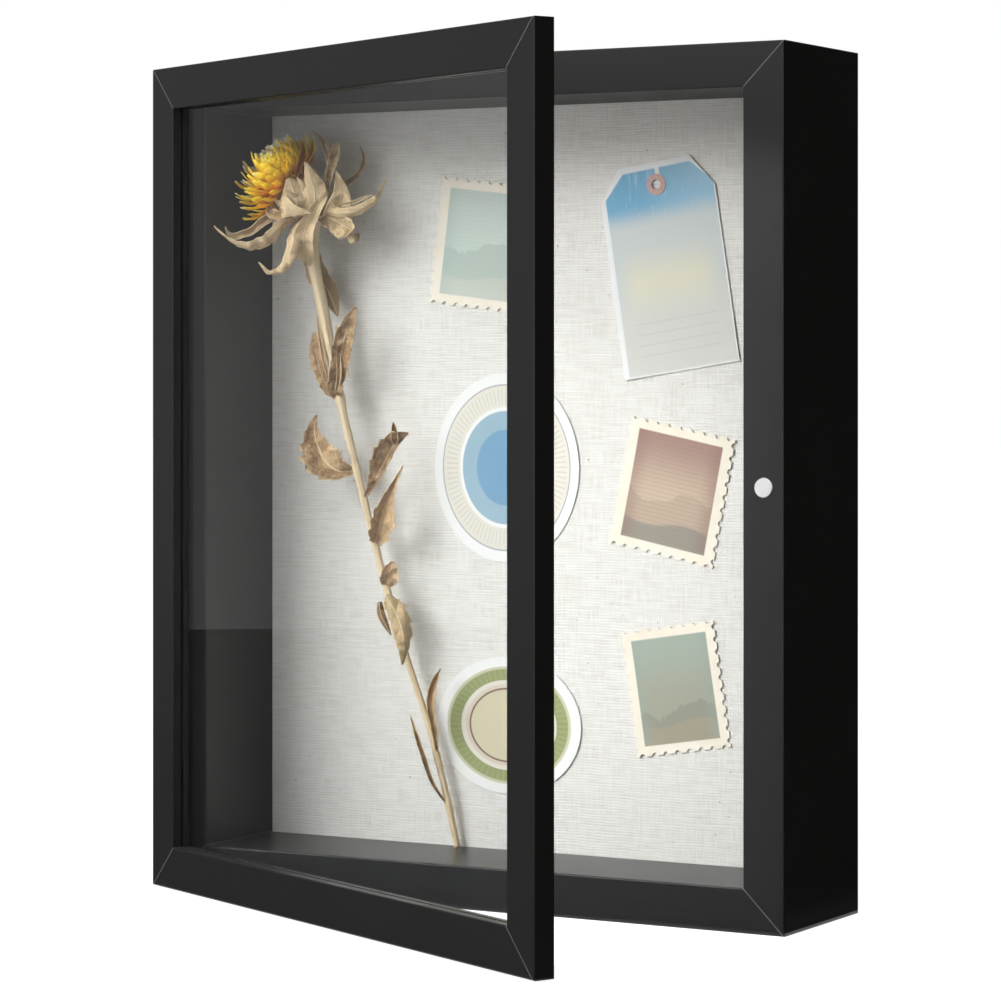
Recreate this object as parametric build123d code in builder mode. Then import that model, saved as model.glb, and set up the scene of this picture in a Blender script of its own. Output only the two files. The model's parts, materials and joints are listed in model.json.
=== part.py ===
"""Shadow box frame: a deep mitred case with a linen back, and a glazed door on two small hinges.

Millimetres. +Z is up, -Y is the front, and the origin is the centre of the case's underside.
The model stands with its door partly open.
"""
from build123d import *
import os
from math import hypot

# Case: four mitred boards round an opening of 206 by 256
case_width = 235.0
case_height = 285.0
case_depth = 58.0
case_side_width = 14.5
case_edge_round = 0.6

# Back of the case, from the front edge of the boards backwards
display_depth = 42.0
rabbet_width = 5.0
linen_thickness = 0.5
linen_turn_in = 14.0
pin_board_thickness = 5.0
backing_thickness = 3.0
panel_play = 0.5

# Door: four mitred mouldings grooved for the glass
door_thickness = 7.5
door_side_width = 14.5
door_edge_round = 0.5
door_gap = 0.6
door_end_gap = 0.5
door_open_angle = 26.35
groove_front_lip = 3.3
groove_width = 2.2
groove_depth = 5.0
glass_thickness = 2.0
glass_edge_play = 1.0

# Hinges: the pin stands just outside the left side, level with the gap behind the door
hinge_offset = 2.0
hinge_height = 25.0
hinge_inset = 48.0
hinge_knuckles = 5
knuckle_radius = 1.6
knuckle_play = 0.2
pin_radius = 0.8
pin_running_clearance = 0.06
pin_head_radius = 1.35
pin_head_height = 0.6
leaf_width = 8.5
leaf_thickness = 0.8
leaf_screw_inset = 4.6
leaf_screw_spacing = 14.0

# Countersunk screws of the hinges
screw_head_radius = 1.9
screw_head_height = 1.0
screw_shank_radius = 0.9
screw_tip_length = 1.6
screw_tip_radius = 0.2
screw_recess_length = 2.3
screw_recess_width = 0.5
screw_recess_depth = 0.6
screw_recess_turns = (0, 90)
case_screw_length = 9.0
door_screw_length = 5.2

# Magnets in the right sides of the case and the door
magnet_height = 142.5
magnet_proud = 0.25
magnet_edge_round = 0.3
case_magnet_radius = 3.3
case_magnet_thickness = 3.0
door_magnet_radius = 3.0
door_magnet_thickness = 1.5

# Fasteners across the mitres
nail_inset = 3.0
nail_leg = 4.0
nail_thickness = 0.5
case_nail_depth = 10.0
door_nail_depth = 4.5

# Flat points that hold the back in its rabbet
point_width = 7.0
point_reach = 9.0
point_bite = 4.5
point_thickness = 0.5
point_corner_round = 2.3
point_spacing = 74.0
upright_point_count = 3
level_point_count = 2

# Saw-tooth hangers, riveted to the backing board
hanger_length = 45.0
hanger_width = 9.0
hanger_thickness = 0.8
hanger_rise = 1.6
hanger_flat = 9.5
hanger_slope = 2.0
hanger_tooth = 1.6
hanger_tooth_pitch = 2.6
hanger_teeth = 7
hanger_inset = 34.0
rivet_shank_radius = 1.2
rivet_head_radius = 2.2
rivet_head_height = 0.6
rivet_flare = 0.5

# Paper keepsakes, each a card laid on the linen: three by the right wall and three in the middle
card_thickness = 0.4
tag_width = 43.5
tag_height = 71.0
tag_shoulder_across = 8.0
tag_shoulder_down = 11.0
tag_hole_drop = 7.5
tag_hole_radius = 1.7
eyelet_radius = 3.6
eyelet_thickness = 0.3
stamp_mauve_size = (40.0, 44.0)
stamp_green_size = (35.5, 42.5)
stamp_sage_size = (40.0, 44.0)
perforation_pitch = 4.4
perforation_radius = 1.0
oval_blue_size = (56.0, 65.0)
oval_olive_size = (55.6, 47.0)
# Each keepsake's middle, as its distance from the right wall and height above the floor, and its turn
layout_height = 256.0
tag_spot = (48.1, 200.3, 8.8)
stamp_mauve_spot = (46.6, 124.6, -11.3)
stamp_green_spot = (45.2, 58.2, 8.8)
stamp_sage_spot = (118.0, 208.5, -7.0)
oval_blue_spot = (110.0, 131.7, 0.0)
oval_olive_spot = (109.0, 43.0, 0.0)

# Dried flower: places are given from the left wall, the linen and the floor of the case
stem_foot_radius = 1.2
stem_swell = 0.9
stem_points = [
    (78.5, 3.0, 0.0), (74.0, 4.2, 21.0), (68.0, 5.4, 43.0), (60.0, 6.5, 65.5), (53.2, 7.6, 87.5),
    (47.4, 8.6, 108.0), (42.0, 9.7, 129.0), (36.8, 10.8, 150.0), (32.6, 11.8, 170.0),
    (28.9, 12.7, 189.0), (26.3, 13.5, 202.0), (26.2, 14.4, 212.5), (30.0, 16.3, 223.9),
]
head_room = 36.4
head_foot = (28.6, 15.6, 219.6)
head_centre = (19.0, 25.7, 233.9)
cup_foot_radius = 2.4
cup_radius = 8.0
cup_height = 12.0
cup_bulge = 1.6
disc_radius = 7.8
disc_crown = 7.0
petal_width = 5.2
petal_thickness = 0.45
petal_stagger = 0.8
petal_root_width = 2.6
petal_shoulder_width = 3.5
petal_shoulder = 0.8
petal_row_turn = 7.0
# Each row of petals: how many, radius and height of its root, radius and height of its tips
petal_rows = [(18, 5.0, 12.8, 18.0, 18.5), (16, 4.0, 15.2, 15.0, 22.5), (10, 3.0, 17.8, 9.5, 26.0)]
bract_count = 9
bract_widths = (3.0, 6.5, 6.0, 1.2)
bract_midrib = [(2.5, 5.0), (8.5, 6.5), (12.0, 9.5), (13.5, 13.5)]
blade_thickness = 0.5
blade_curl = 0.12
# Bracts that dried in curls: midrib from inside the cup outwards, widths along it, and direction across
cup_heart = (26.4, 17.9, 222.8)
curled_bracts = [
    (
        [cup_heart, (21.0, 30.0, 213.5), (12.0, 38.0, 209.5), (3.5, 40.0, 215.0)],
        (3.0, 7.0, 6.5, 1.2), (0.1, -0.5, 1),
    ),
    (
        [cup_heart, (27.0, 27.0, 212.5), (25.5, 30.5, 202.5), (16.0, 32.0, 202.0)],
        (3.0, 6.0, 5.5, 1.2), (1, 0.3, 0),
    ),
    (
        [cup_heart, (38.0, 21.0, 221.5), (52.0, 20.5, 222.0), (58.5, 17.5, 231.0)],
        (3.0, 7.0, 5.5, 1.2), (0, 0.4, -1),
    ),
    (
        [cup_heart, (35.5, 19.5, 219.5), (42.0, 19.5, 217.0), (46.0, 18.0, 210.5)],
        (3.0, 6.5, 8.0, 3.0), (0.3, 0.2, -1),
    ),
    (
        [cup_heart, (34.0, 19.0, 226.0), (36.5, 18.0, 236.5), (37.3, 16.0, 244.5)],
        (3.0, 5.0, 5.0, 3.0), (0.87, -0.5, 0),
    ),
    (
        [cup_heart, (32.0, 16.0, 230.5), (33.5, 15.0, 240.5), (27.5, 14.0, 247.5)],
        (3.0, 5.0, 4.0, 1.0), (0.87, -0.5, 0),
    ),
    (
        [cup_heart, (34.0, 11.5, 228.0), (41.0, 8.5, 235.5), (41.8, 7.5, 244.0)],
        (3.0, 5.5, 4.0, 1.2), (0.5, -0.9, -0.3),
    ),
    (
        [cup_heart, (32.0, 25.0, 218.0), (28.8, 24.5, 210.0), (27.6, 19.5, 203.0)],
        (3.0, 5.0, 7.5, 1.2), (0.87, -0.5, 0),
    ),
    (
        [cup_heart, (33.5, 23.5, 223.5), (35.5, 25.0, 229.0), (34.6, 26.0, 236.0)],
        (3.0, 8.0, 7.5, 1.2), (0.87, -0.5, 0),
    ),
    (
        [cup_heart, (37.5, 20.5, 220.5), (42.3, 21.5, 226.5), (40.5, 21.5, 234.5)],
        (3.0, 7.0, 8.0, 1.2), (0.87, -0.5, 0),
    ),
]
# Leaves on the stem: height of the foot, midrib beyond it, widths from foot to tip, and direction across
stem_leaves = {
    "leaf_upper_left": (
        156.0, [(28.5, 14.0, 164.0), (27.0, 16.0, 175.0), (28.5, 15.0, 185.0)],
        (1.6, 6.5, 5.5, 1.0), (0, 1, 0),
    ),
    "leaf_upper_right": (
        157.5, [(38.0, 14.5, 164.0), (42.0, 15.5, 173.0), (43.5, 14.0, 187.0)],
        (1.6, 7.0, 7.5, 1.0), (0.6, 0.8, 0),
    ),
    "leaf_broad_left": (
        130.5, [(31.0, 13.0, 129.0), (22.0, 15.0, 136.0), (27.0, 15.5, 148.5)],
        (1.6, 9.0, 10.0, 1.2), (0.5, 0.3, 0.8),
    ),
    "leaf_high_right": (
        121.5, [(49.0, 13.5, 131.0), (56.0, 13.0, 143.0), (63.5, 11.5, 145.5)],
        (1.6, 6.0, 6.5, 1.2), (0.8, 0.6, 0),
    ),
    "leaf_mid_right": (
        110.5, [(53.5, 12.5, 111.5), (60.0, 13.0, 119.0), (62.5, 13.0, 132.0)],
        (1.6, 6.0, 7.0, 1.0), (0.4, 0.9, 0.2),
    ),
    "leaf_wrapped": (
        88.5, [(57.0, 12.0, 93.0), (62.5, 12.0, 84.0), (64.0, 10.5, 70.0)],
        (1.6, 7.0, 8.0, 1.0), (0, 1, 0),
    ),
    "leaf_low_right": (
        31.0, [(71.0, 9.5, 40.0), (71.0, 10.0, 50.0), (73.5, 9.0, 60.5)],
        (1.4, 4.5, 5.5, 1.0), (0.8, 0.6, 0),
    ),
    "leaf_low_left": (
        16.5, [(69.5, 7.0, 23.5), (66.0, 8.0, 33.0), (63.0, 8.0, 43.5)],
        (1.4, 3.8, 4.0, 0.9), (0.6, 0.8, 0.3),
    ),
}

# Places worked out from the sizes
case_front = -case_depth / 2
case_back = case_depth / 2
case_left = -case_width / 2
case_right = case_width / 2
wall_left = case_left + case_side_width
wall_right = case_right - case_side_width
floor = case_side_width
ceiling = case_height - case_side_width
linen_front = case_front + display_depth
pin_board_front = linen_front + linen_thickness
backing_front = pin_board_front + pin_board_thickness + linen_thickness
backing_back = backing_front + backing_thickness
panel_width = wall_right - wall_left + 2 * (rabbet_width - panel_play)
panel_height = ceiling - floor + 2 * (rabbet_width - panel_play)

hinge_x = case_left - hinge_offset
hinge_y = case_front - door_gap / 2
hinge_heights = {"lower": hinge_inset, "upper": case_height - hinge_inset}
case_place = Location((hinge_x, hinge_y, 0))
door_place = Location((hinge_x, hinge_y, 0), (0, 0, -door_open_angle))

# In the door's own frame x runs along it from the hinge pin and y runs backwards through it
door_near = hinge_offset
door_far = hinge_offset + case_width
door_rear = -door_gap / 2
door_front = door_rear - door_thickness
door_bottom = door_end_gap
door_top = case_height - door_end_gap


def plane_in(place, local):
    """A plane given in a body's own frame, as a plane of the whole object."""
    return Plane(place * local.location)


def frame_sides(place, left, right, bottom, top, front):
    """For each side, its length and a plane with x inwards, y backwards and z along it."""

    def side(x, z, inwards, along, length):
        corner = Plane(origin=(x, front, z), x_dir=inwards, z_dir=along)
        return plane_in(place, corner), length

    return {
        "left": side(left, bottom, (1, 0, 0), (0, 0, 1), top - bottom),
        "right": side(right, top, (-1, 0, 0), (0, 0, -1), top - bottom),
        "bottom": side(right, bottom, (0, 0, 1), (-1, 0, 0), right - left),
        "top": side(left, top, (0, 0, -1), (1, 0, 0), right - left),
    }


def mitred_side(side, outline, eased, radius):
    """A moulding with the given outline, some of its edges eased, mitred at both ends."""
    plane, length = side
    near_mitre = Plane(origin=(0, 0, 0), z_dir=(-1, 0, 1))
    far_mitre = Plane(origin=(0, 0, length), z_dir=(-1, 0, -1))
    with BuildPart() as moulding:
        with BuildSketch(plane) as section:
            with BuildLine():
                Polyline(*outline, close=True)
            make_face()
            corners = [section.vertices().sort_by_distance(point)[0] for point in eased]
            fillet(corners, radius)
        extrude(amount=length)
        split(bisect_by=plane_in(plane.location, near_mitre), keep=Keep.TOP)
        split(bisect_by=plane_in(plane.location, far_mitre), keep=Keep.TOP)
    return moulding.part


def mitre_nails(sides, rear, depth):
    """An angled nail across each mitre, driven in from behind, flush with the rear."""
    inner = nail_inset + nail_thickness
    end = nail_inset + nail_leg
    outline = [
        (nail_inset, nail_inset), (end, nail_inset), (end, inner),
        (inner, inner), (inner, end), (nail_inset, end),
    ]
    with BuildPart() as nails:
        for plane, _ in sides.values():
            with BuildSketch(plane_in(plane.location, Plane.XZ.offset(-rear))):
                with BuildLine():
                    Polyline(*outline, close=True)
                make_face()
            extrude(amount=depth)
    return nails.part


def countersunk_screw(plane, length, turns):
    """A screw whose head is flush with the plane, its tip along the plane's z, with a slot for each turn."""
    body = length - screw_tip_length
    low = (Align.CENTER, Align.CENTER, Align.MIN)
    with BuildPart(plane) as screw:
        Cylinder(screw_shank_radius, body, align=low)
        Cone(screw_head_radius, screw_shank_radius, screw_head_height, align=low)
        with Locations((0, 0, body)):
            Cone(screw_shank_radius, screw_tip_radius, screw_tip_length, align=low)
        for turn in turns:
            with Locations(Location((0, 0, 0), (0, 0, turn))):
                Box(
                    screw_recess_length, screw_recess_width, screw_recess_depth,
                    align=low, mode=Mode.SUBTRACT,
                )
    return screw.part


def leaf_screws(place, side, length, turns):
    """The screws of the leaves on one body: side is 1 for the case and -1 for the door."""
    screws = []
    for height in hinge_heights.values():
        for step in (-0.5, 0.5):
            head = (
                hinge_offset + leaf_screw_inset,
                side * door_gap / 2,
                height + step * leaf_screw_spacing,
            )
            plane = plane_in(place, Plane(origin=head, x_dir=(1, 0, 0), z_dir=(0, side, 0)))
            screws.append(countersunk_screw(plane, length, turns))
    with BuildPart() as group:
        add(screws)
    return group.part


def hinge_leaf(place, side, height, first_knuckle, bore_radius):
    """A plate let into the wood and its share of the knuckles round the pin."""
    pitch = hinge_height / hinge_knuckles
    knuckle_length = pitch - knuckle_play
    plate_y = side * (door_gap + leaf_thickness) / 2
    bottom = height - hinge_height / 2
    with BuildPart(plane_in(place, Plane.XY)) as leaf:
        with Locations((hinge_offset + leaf_width / 2, plate_y, height)):
            Box(leaf_width, leaf_thickness, hinge_height)
        for knuckle in range(first_knuckle, hinge_knuckles, 2):
            z = bottom + (knuckle + 0.5) * pitch
            with Locations((0, 0, z)):
                Cylinder(knuckle_radius, knuckle_length)
            with Locations((hinge_offset / 2, plate_y, z)):
                Box(hinge_offset, leaf_thickness, knuckle_length)
        with Locations((0, 0, height)):
            Cylinder(bore_radius, hinge_height, mode=Mode.SUBTRACT)
    return leaf.part


def hinge_pin(height):
    """A pin with a low head at each end, held by the case's knuckles."""
    grip = hinge_height - knuckle_play
    with BuildPart(plane_in(case_place, Plane.XY.offset(height))) as pin:
        Cylinder(pin_radius, grip)
        for end in (-1, 1):
            with Locations((0, 0, end * (grip + pin_head_height) / 2)):
                Cylinder(pin_head_radius, pin_head_height)
        heads = pin.edges().filter_by(GeomType.CIRCLE).group_by(SortBy.RADIUS)[-1]
        outer = heads.sort_by(Axis.Z)
        fillet([outer[0], outer[-1]], pin_head_height / 2)
    return pin.part


def disc_magnet(plane, radius, thickness):
    """A disc whose face lies on the plane and whose body runs along the plane's z."""
    with BuildPart(plane) as magnet:
        Cylinder(radius, thickness, align=(Align.CENTER, Align.CENTER, Align.MIN))
        chamfer(magnet.edges().filter_by(GeomType.CIRCLE), magnet_edge_round)
    return magnet.part


def back_points():
    """Flat points driven into the rabbet's wall, lying on the backing board."""
    counts = {
        "left": upright_point_count, "right": upright_point_count,
        "bottom": level_point_count, "top": level_point_count,
    }
    length = point_bite + point_reach
    centre = case_side_width - rabbet_width - point_bite + length / 2
    with BuildPart() as points:
        for name, (plane, side_length) in case_sides.items():
            rear = Plane.XZ.offset(case_front - backing_back)
            with BuildSketch(plane_in(plane.location, rear)):
                with Locations((centre, side_length / 2)):
                    with GridLocations(0, point_spacing, 1, counts[name]):
                        RectangleRounded(length, point_width, point_corner_round)
            extrude(amount=-point_thickness)
    return points.part


def saw_hanger(plane):
    """A bridged strip with teeth along one edge: x along it, -y towards the teeth, z rearwards."""
    half = hanger_length / 2
    foot = half - hanger_flat
    bridge = foot - hanger_slope
    under = [(-half, 0), (-foot, 0), (-bridge, hanger_rise), (bridge, hanger_rise), (foot, 0), (half, 0)]
    over = [(x, z + hanger_thickness) for x, z in reversed(under)]
    with BuildPart() as hanger:
        with BuildSketch(plane_in(plane.location, Plane.XZ)):
            with BuildLine():
                Polyline(*under, *over, close=True)
            make_face()
        extrude(amount=hanger_width / 2, both=True)
        with BuildSketch(plane):
            with Locations((0, -hanger_width / 2)):
                with GridLocations(hanger_tooth_pitch, 0, hanger_teeth, 1):
                    Rectangle(hanger_tooth, hanger_tooth, rotation=45)
        extrude(amount=hanger_rise + hanger_thickness, mode=Mode.SUBTRACT)
    return hanger.part


def rivet(plane):
    """A rivet through hanger and backing; z runs forwards from the hanger's outer face."""
    grip = hanger_thickness + backing_thickness
    low = (Align.CENTER, Align.CENTER, Align.MIN)
    high = (Align.CENTER, Align.CENTER, Align.MAX)
    with BuildPart(plane) as part:
        Cylinder(rivet_shank_radius, grip, align=low)
        Cylinder(rivet_head_radius, rivet_head_height, align=high)
        with Locations((0, 0, grip)):
            Cone(rivet_shank_radius, rivet_shank_radius + rivet_flare, rivet_flare, align=high)
        edge = part.edges().filter_by(GeomType.CIRCLE).group_by(SortBy.RADIUS)[-1]
        fillet(edge.sort_by_distance(plane.origin)[-1:], rivet_head_height / 2)
    return part.part


def card_plane(spot):
    """A plane on the linen, facing forwards, turned anticlockwise as seen from the front."""
    from_right, up, turn = spot
    middle = (wall_right - from_right, linen_front, floor + up * (ceiling - floor) / layout_height)
    base = Plane(origin=middle, x_dir=(1, 0, 0), z_dir=(0, -1, 0))
    return plane_in(base.location, Plane(Location((0, 0, 0), (0, 0, turn))))


def perforated_card(plane, size):
    """A stamp: a rectangle with a row of half-round bites along each edge."""
    width, height = size
    across = round(width / perforation_pitch)
    upwards = round(height / perforation_pitch)
    with BuildPart() as card:
        with BuildSketch(plane):
            Rectangle(width, height)
            with GridLocations(width / across, height, across, 2):
                Circle(perforation_radius, mode=Mode.SUBTRACT)
            with GridLocations(width, height / upwards, 2, upwards):
                Circle(perforation_radius, mode=Mode.SUBTRACT)
        extrude(amount=card_thickness)
    return card.part


def oval_card(plane, size):
    """A label cut to an oval."""
    with BuildPart() as card:
        with BuildSketch(plane):
            Ellipse(size[0] / 2, size[1] / 2)
        extrude(amount=card_thickness)
    return card.part


def shown(point):
    """A place in the case, from the left wall, the linen and the floor, in the object's frame.

    The stem is as long as the case allows, and the head keeps its room under the ceiling.
    """
    across, forwards, up = point
    neck_height = ceiling - floor - head_room
    rise = up * neck_height / head_foot[2]
    if up > head_foot[2]:
        rise = up - head_foot[2] + neck_height
    return Vector(wall_left + across, linen_front - forwards, floor + rise)


def station(spine, index, across):
    """The plane square to a spine at one of its points, its x as near to across as it can be."""
    ahead = spine[min(index + 1, len(spine) - 1)]
    behind = spine[max(index - 1, 0)]
    return Plane(origin=spine[index], x_dir=across, z_dir=ahead - behind)


def blade(spine, widths, across):
    """A thin dry leaf or bract, lofted along its midrib and cupped across it."""
    with BuildPart() as leaf:
        for index, width in enumerate(widths):
            rise = blade_curl * width
            with BuildSketch(station(spine, index, across)):
                with BuildLine():
                    ThreePointArc((-width / 2, 0), (0, rise + blade_thickness / 2), (width / 2, 0))
                    ThreePointArc((width / 2, 0), (0, rise - blade_thickness / 2), (-width / 2, 0))
                make_face()
        loft()
    return leaf.part


def stem_at(height):
    """The stem's middle at a height above the floor."""
    for below, above in zip(stem_points, stem_points[1:]):
        if below[2] <= height <= above[2]:
            share = (height - below[2]) / (above[2] - below[2])
            return tuple(low + share * (high - low) for low, high in zip(below, above))
    raise ValueError("the height is beyond the stem")


def leaf_on_stem(height, points, widths, across):
    """A leaf whose foot starts in the stem and is cut back to the stem's surface."""
    spine = [shown(point) for point in [stem_at(height), *points]]
    with BuildPart() as leaf:
        add(blade(spine, widths, across))
        add(flower_stem.part, mode=Mode.SUBTRACT)
    return leaf


def petal_row(count, root_radius, root_height, tip_radius, tip_height, first_turn):
    """Flat pointed petals round the head's axis, rising outwards from root to tip."""
    length = hypot(tip_radius - root_radius, tip_height - root_height)
    along = (tip_radius - root_radius, 0, tip_height - root_height)
    flat = Plane(origin=(root_radius, 0, root_height), x_dir=along, z_dir=(along[2], 0, -along[0]))
    edge = [
        (0, petal_root_width / 2), (length / 2, petal_width / 2),
        (petal_shoulder * length, petal_shoulder_width / 2),
    ]
    outline = [*edge, (length, 0), *[(x, -y) for x, y in reversed(edge)]]
    row = []
    for index in range(count):
        lift = petal_stagger * (index % 2)
        turned = Location((0, 0, lift), (0, 0, first_turn + 360 * index / count))
        place = plane_in(head_place.location * turned, flat)
        with BuildPart() as petal:
            with BuildSketch(place):
                with BuildLine():
                    Polyline(*outline, close=True)
                make_face()
            extrude(amount=petal_thickness)
        row.append(petal.part)
    return row


case_sides = frame_sides(Location(), case_left, case_right, 0, case_height, case_front)
door_sides = frame_sides(door_place, door_near, door_far, door_bottom, door_top, door_front)

# Fasteners come first, because the wood is cut to fit them
with BuildPart() as case_v_nails:
    add(mitre_nails(case_sides, case_depth, case_nail_depth))

with BuildPart() as door_v_nails:
    add(mitre_nails(door_sides, door_thickness, door_nail_depth))

with BuildPart() as flex_points:
    add(back_points())

with BuildPart() as hinge_case_screws:
    add(leaf_screws(case_place, 1, case_screw_length, screw_recess_turns))

with BuildPart() as hinge_door_screws:
    add(leaf_screws(door_place, -1, door_screw_length, screw_recess_turns))

case_screw_holes = leaf_screws(case_place, 1, case_screw_length, ())
door_screw_holes = leaf_screws(door_place, -1, door_screw_length, ())
running_bore = pin_radius + pin_running_clearance

with BuildPart() as hinge_lower_case_leaf:
    add(hinge_leaf(case_place, 1, hinge_heights["lower"], 0, pin_radius))
    add(case_screw_holes, mode=Mode.SUBTRACT)

with BuildPart() as hinge_upper_case_leaf:
    add(hinge_leaf(case_place, 1, hinge_heights["upper"], 0, pin_radius))
    add(case_screw_holes, mode=Mode.SUBTRACT)

with BuildPart() as hinge_lower_door_leaf:
    add(hinge_leaf(door_place, -1, hinge_heights["lower"], 1, running_bore))
    add(door_screw_holes, mode=Mode.SUBTRACT)

with BuildPart() as hinge_upper_door_leaf:
    add(hinge_leaf(door_place, -1, hinge_heights["upper"], 1, running_bore))
    add(door_screw_holes, mode=Mode.SUBTRACT)

with BuildPart() as hinge_lower_pin:
    add(hinge_pin(hinge_heights["lower"]))

with BuildPart() as hinge_upper_pin:
    add(hinge_pin(hinge_heights["upper"]))

with BuildPart() as case_magnet:
    face = (case_right - case_side_width / 2, case_front - magnet_proud, magnet_height)
    plane = Plane(origin=face, x_dir=(1, 0, 0), z_dir=(0, 1, 0))
    add(disc_magnet(plane, case_magnet_radius, case_magnet_thickness))

with BuildPart() as door_magnet:
    face = (door_far - case_side_width / 2, door_rear + magnet_proud, magnet_height)
    plane = Plane(origin=face, x_dir=(1, 0, 0), z_dir=(0, -1, 0))
    add(disc_magnet(plane_in(door_place, plane), door_magnet_radius, door_magnet_thickness))

# Case boards, each with its rabbet behind for the linen-covered panel and the backing
case_outline = [
    (0, 0), (case_side_width, 0), (case_side_width, display_depth),
    (case_side_width - rabbet_width, display_depth), (case_side_width - rabbet_width, case_depth),
    (0, case_depth),
]
case_eased = [case_outline[0], case_outline[1], case_outline[-1]]

with BuildPart() as case_left_board:
    add(mitred_side(case_sides["left"], case_outline, case_eased, case_edge_round))
    for fitted in (case_v_nails, flex_points, hinge_lower_case_leaf, hinge_upper_case_leaf):
        add(fitted.part, mode=Mode.SUBTRACT)
    add(case_screw_holes, mode=Mode.SUBTRACT)

with BuildPart() as case_right_board:
    add(mitred_side(case_sides["right"], case_outline, case_eased, case_edge_round))
    for fitted in (case_v_nails, flex_points, case_magnet):
        add(fitted.part, mode=Mode.SUBTRACT)

with BuildPart() as case_bottom_board:
    add(mitred_side(case_sides["bottom"], case_outline, case_eased, case_edge_round))
    for fitted in (case_v_nails, flex_points):
        add(fitted.part, mode=Mode.SUBTRACT)

with BuildPart() as case_top_board:
    add(mitred_side(case_sides["top"], case_outline, case_eased, case_edge_round))
    for fitted in (case_v_nails, flex_points):
        add(fitted.part, mode=Mode.SUBTRACT)

# Door mouldings, each grooved for the edge of the glass
groove_rear = groove_front_lip + groove_width
door_outline = [
    (0, 0), (door_side_width, 0), (door_side_width, groove_front_lip),
    (door_side_width - groove_depth, groove_front_lip), (door_side_width - groove_depth, groove_rear),
    (door_side_width, groove_rear), (door_side_width, door_thickness), (0, door_thickness),
]
door_eased = [door_outline[0], door_outline[1], door_outline[-1]]

with BuildPart() as door_left_stile:
    add(mitred_side(door_sides["left"], door_outline, door_eased, door_edge_round))
    for fitted in (door_v_nails, hinge_lower_door_leaf, hinge_upper_door_leaf):
        add(fitted.part, mode=Mode.SUBTRACT)
    add(door_screw_holes, mode=Mode.SUBTRACT)

with BuildPart() as door_right_stile:
    add(mitred_side(door_sides["right"], door_outline, door_eased, door_edge_round))
    for fitted in (door_v_nails, door_magnet):
        add(fitted.part, mode=Mode.SUBTRACT)

with BuildPart() as door_bottom_rail:
    add(mitred_side(door_sides["bottom"], door_outline, door_eased, door_edge_round))
    add(door_v_nails.part, mode=Mode.SUBTRACT)

with BuildPart() as door_top_rail:
    add(mitred_side(door_sides["top"], door_outline, door_eased, door_edge_round))
    add(door_v_nails.part, mode=Mode.SUBTRACT)

glass_inset = door_side_width - groove_depth + glass_edge_play
with BuildPart(plane_in(door_place, Plane.XY)) as door_glass:
    centre = (
        (door_near + door_far) / 2,
        door_front + groove_front_lip + groove_width / 2,
        (door_bottom + door_top) / 2,
    )
    with Locations(centre):
        Box(case_width - 2 * glass_inset, glass_thickness, door_top - door_bottom - 2 * glass_inset)

# Panels in the rabbet: the linen is wrapped round the pin board and turned in behind it
mid_height = (floor + ceiling) / 2
covered_thickness = pin_board_thickness + 2 * linen_thickness
with BuildPart() as linen_cover:
    with Locations((0, linen_front + covered_thickness / 2, mid_height)):
        Box(panel_width, covered_thickness, panel_height)
        Box(
            panel_width - 2 * linen_thickness, pin_board_thickness, panel_height - 2 * linen_thickness,
            mode=Mode.SUBTRACT,
        )
    with Locations((0, backing_front - linen_thickness / 2, mid_height)):
        Box(
            panel_width - 2 * linen_turn_in, linen_thickness, panel_height - 2 * linen_turn_in,
            mode=Mode.SUBTRACT,
        )

with BuildPart() as pin_board:
    with Locations((0, pin_board_front + pin_board_thickness / 2, mid_height)):
        Box(panel_width - 2 * linen_thickness, pin_board_thickness, panel_height - 2 * linen_thickness)

# Saw-tooth hangers, one for each way of hanging, and their rivets
portrait_place = Plane(
    origin=(0, backing_back, ceiling - hanger_inset), x_dir=(-1, 0, 0), z_dir=(0, 1, 0)
)
landscape_place = Plane(
    origin=(wall_left + hanger_inset, backing_back, mid_height), x_dir=(0, 0, -1), z_dir=(0, 1, 0)
)
rivet_across = (hanger_length - hanger_flat) / 2
rivets = []
for place in (portrait_place, landscape_place):
    for across in (-rivet_across, rivet_across):
        head = Plane(origin=(across, 0, hanger_thickness), x_dir=(1, 0, 0), z_dir=(0, 0, -1))
        rivets.append(rivet(plane_in(place.location, head)))

with BuildPart() as hanger_rivets:
    add(rivets)

with BuildPart() as portrait_hanger:
    add(saw_hanger(portrait_place))
    add(hanger_rivets.part, mode=Mode.SUBTRACT)

with BuildPart() as landscape_hanger:
    add(saw_hanger(landscape_place))
    add(hanger_rivets.part, mode=Mode.SUBTRACT)

with BuildPart() as backing_board:
    with Locations((0, backing_front + backing_thickness / 2, mid_height)):
        Box(panel_width, backing_thickness, panel_height)
    add(hanger_rivets.part, mode=Mode.SUBTRACT)

# Paper keepsakes
tag_place = card_plane(tag_spot)
with BuildPart() as tag_card:
    half = tag_width / 2
    top = tag_height / 2
    with BuildSketch(tag_place):
        with BuildLine():
            Polyline(
                (-half, -top), (half, -top), (half, top - tag_shoulder_down),
                (half - tag_shoulder_across, top), (-half + tag_shoulder_across, top),
                (-half, top - tag_shoulder_down), close=True,
            )
        make_face()
        with Locations((0, top - tag_hole_drop)):
            Circle(tag_hole_radius, mode=Mode.SUBTRACT)
    extrude(amount=card_thickness)

with BuildPart() as tag_eyelet:
    with BuildSketch(tag_place.offset(card_thickness)):
        with Locations((0, tag_height / 2 - tag_hole_drop)):
            Circle(eyelet_radius)
            Circle(tag_hole_radius, mode=Mode.SUBTRACT)
    extrude(amount=eyelet_thickness)

with BuildPart() as stamp_mauve:
    add(perforated_card(card_plane(stamp_mauve_spot), stamp_mauve_size))

with BuildPart() as stamp_green:
    add(perforated_card(card_plane(stamp_green_spot), stamp_green_size))

with BuildPart() as stamp_sage:
    add(perforated_card(card_plane(stamp_sage_spot), stamp_sage_size))

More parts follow.
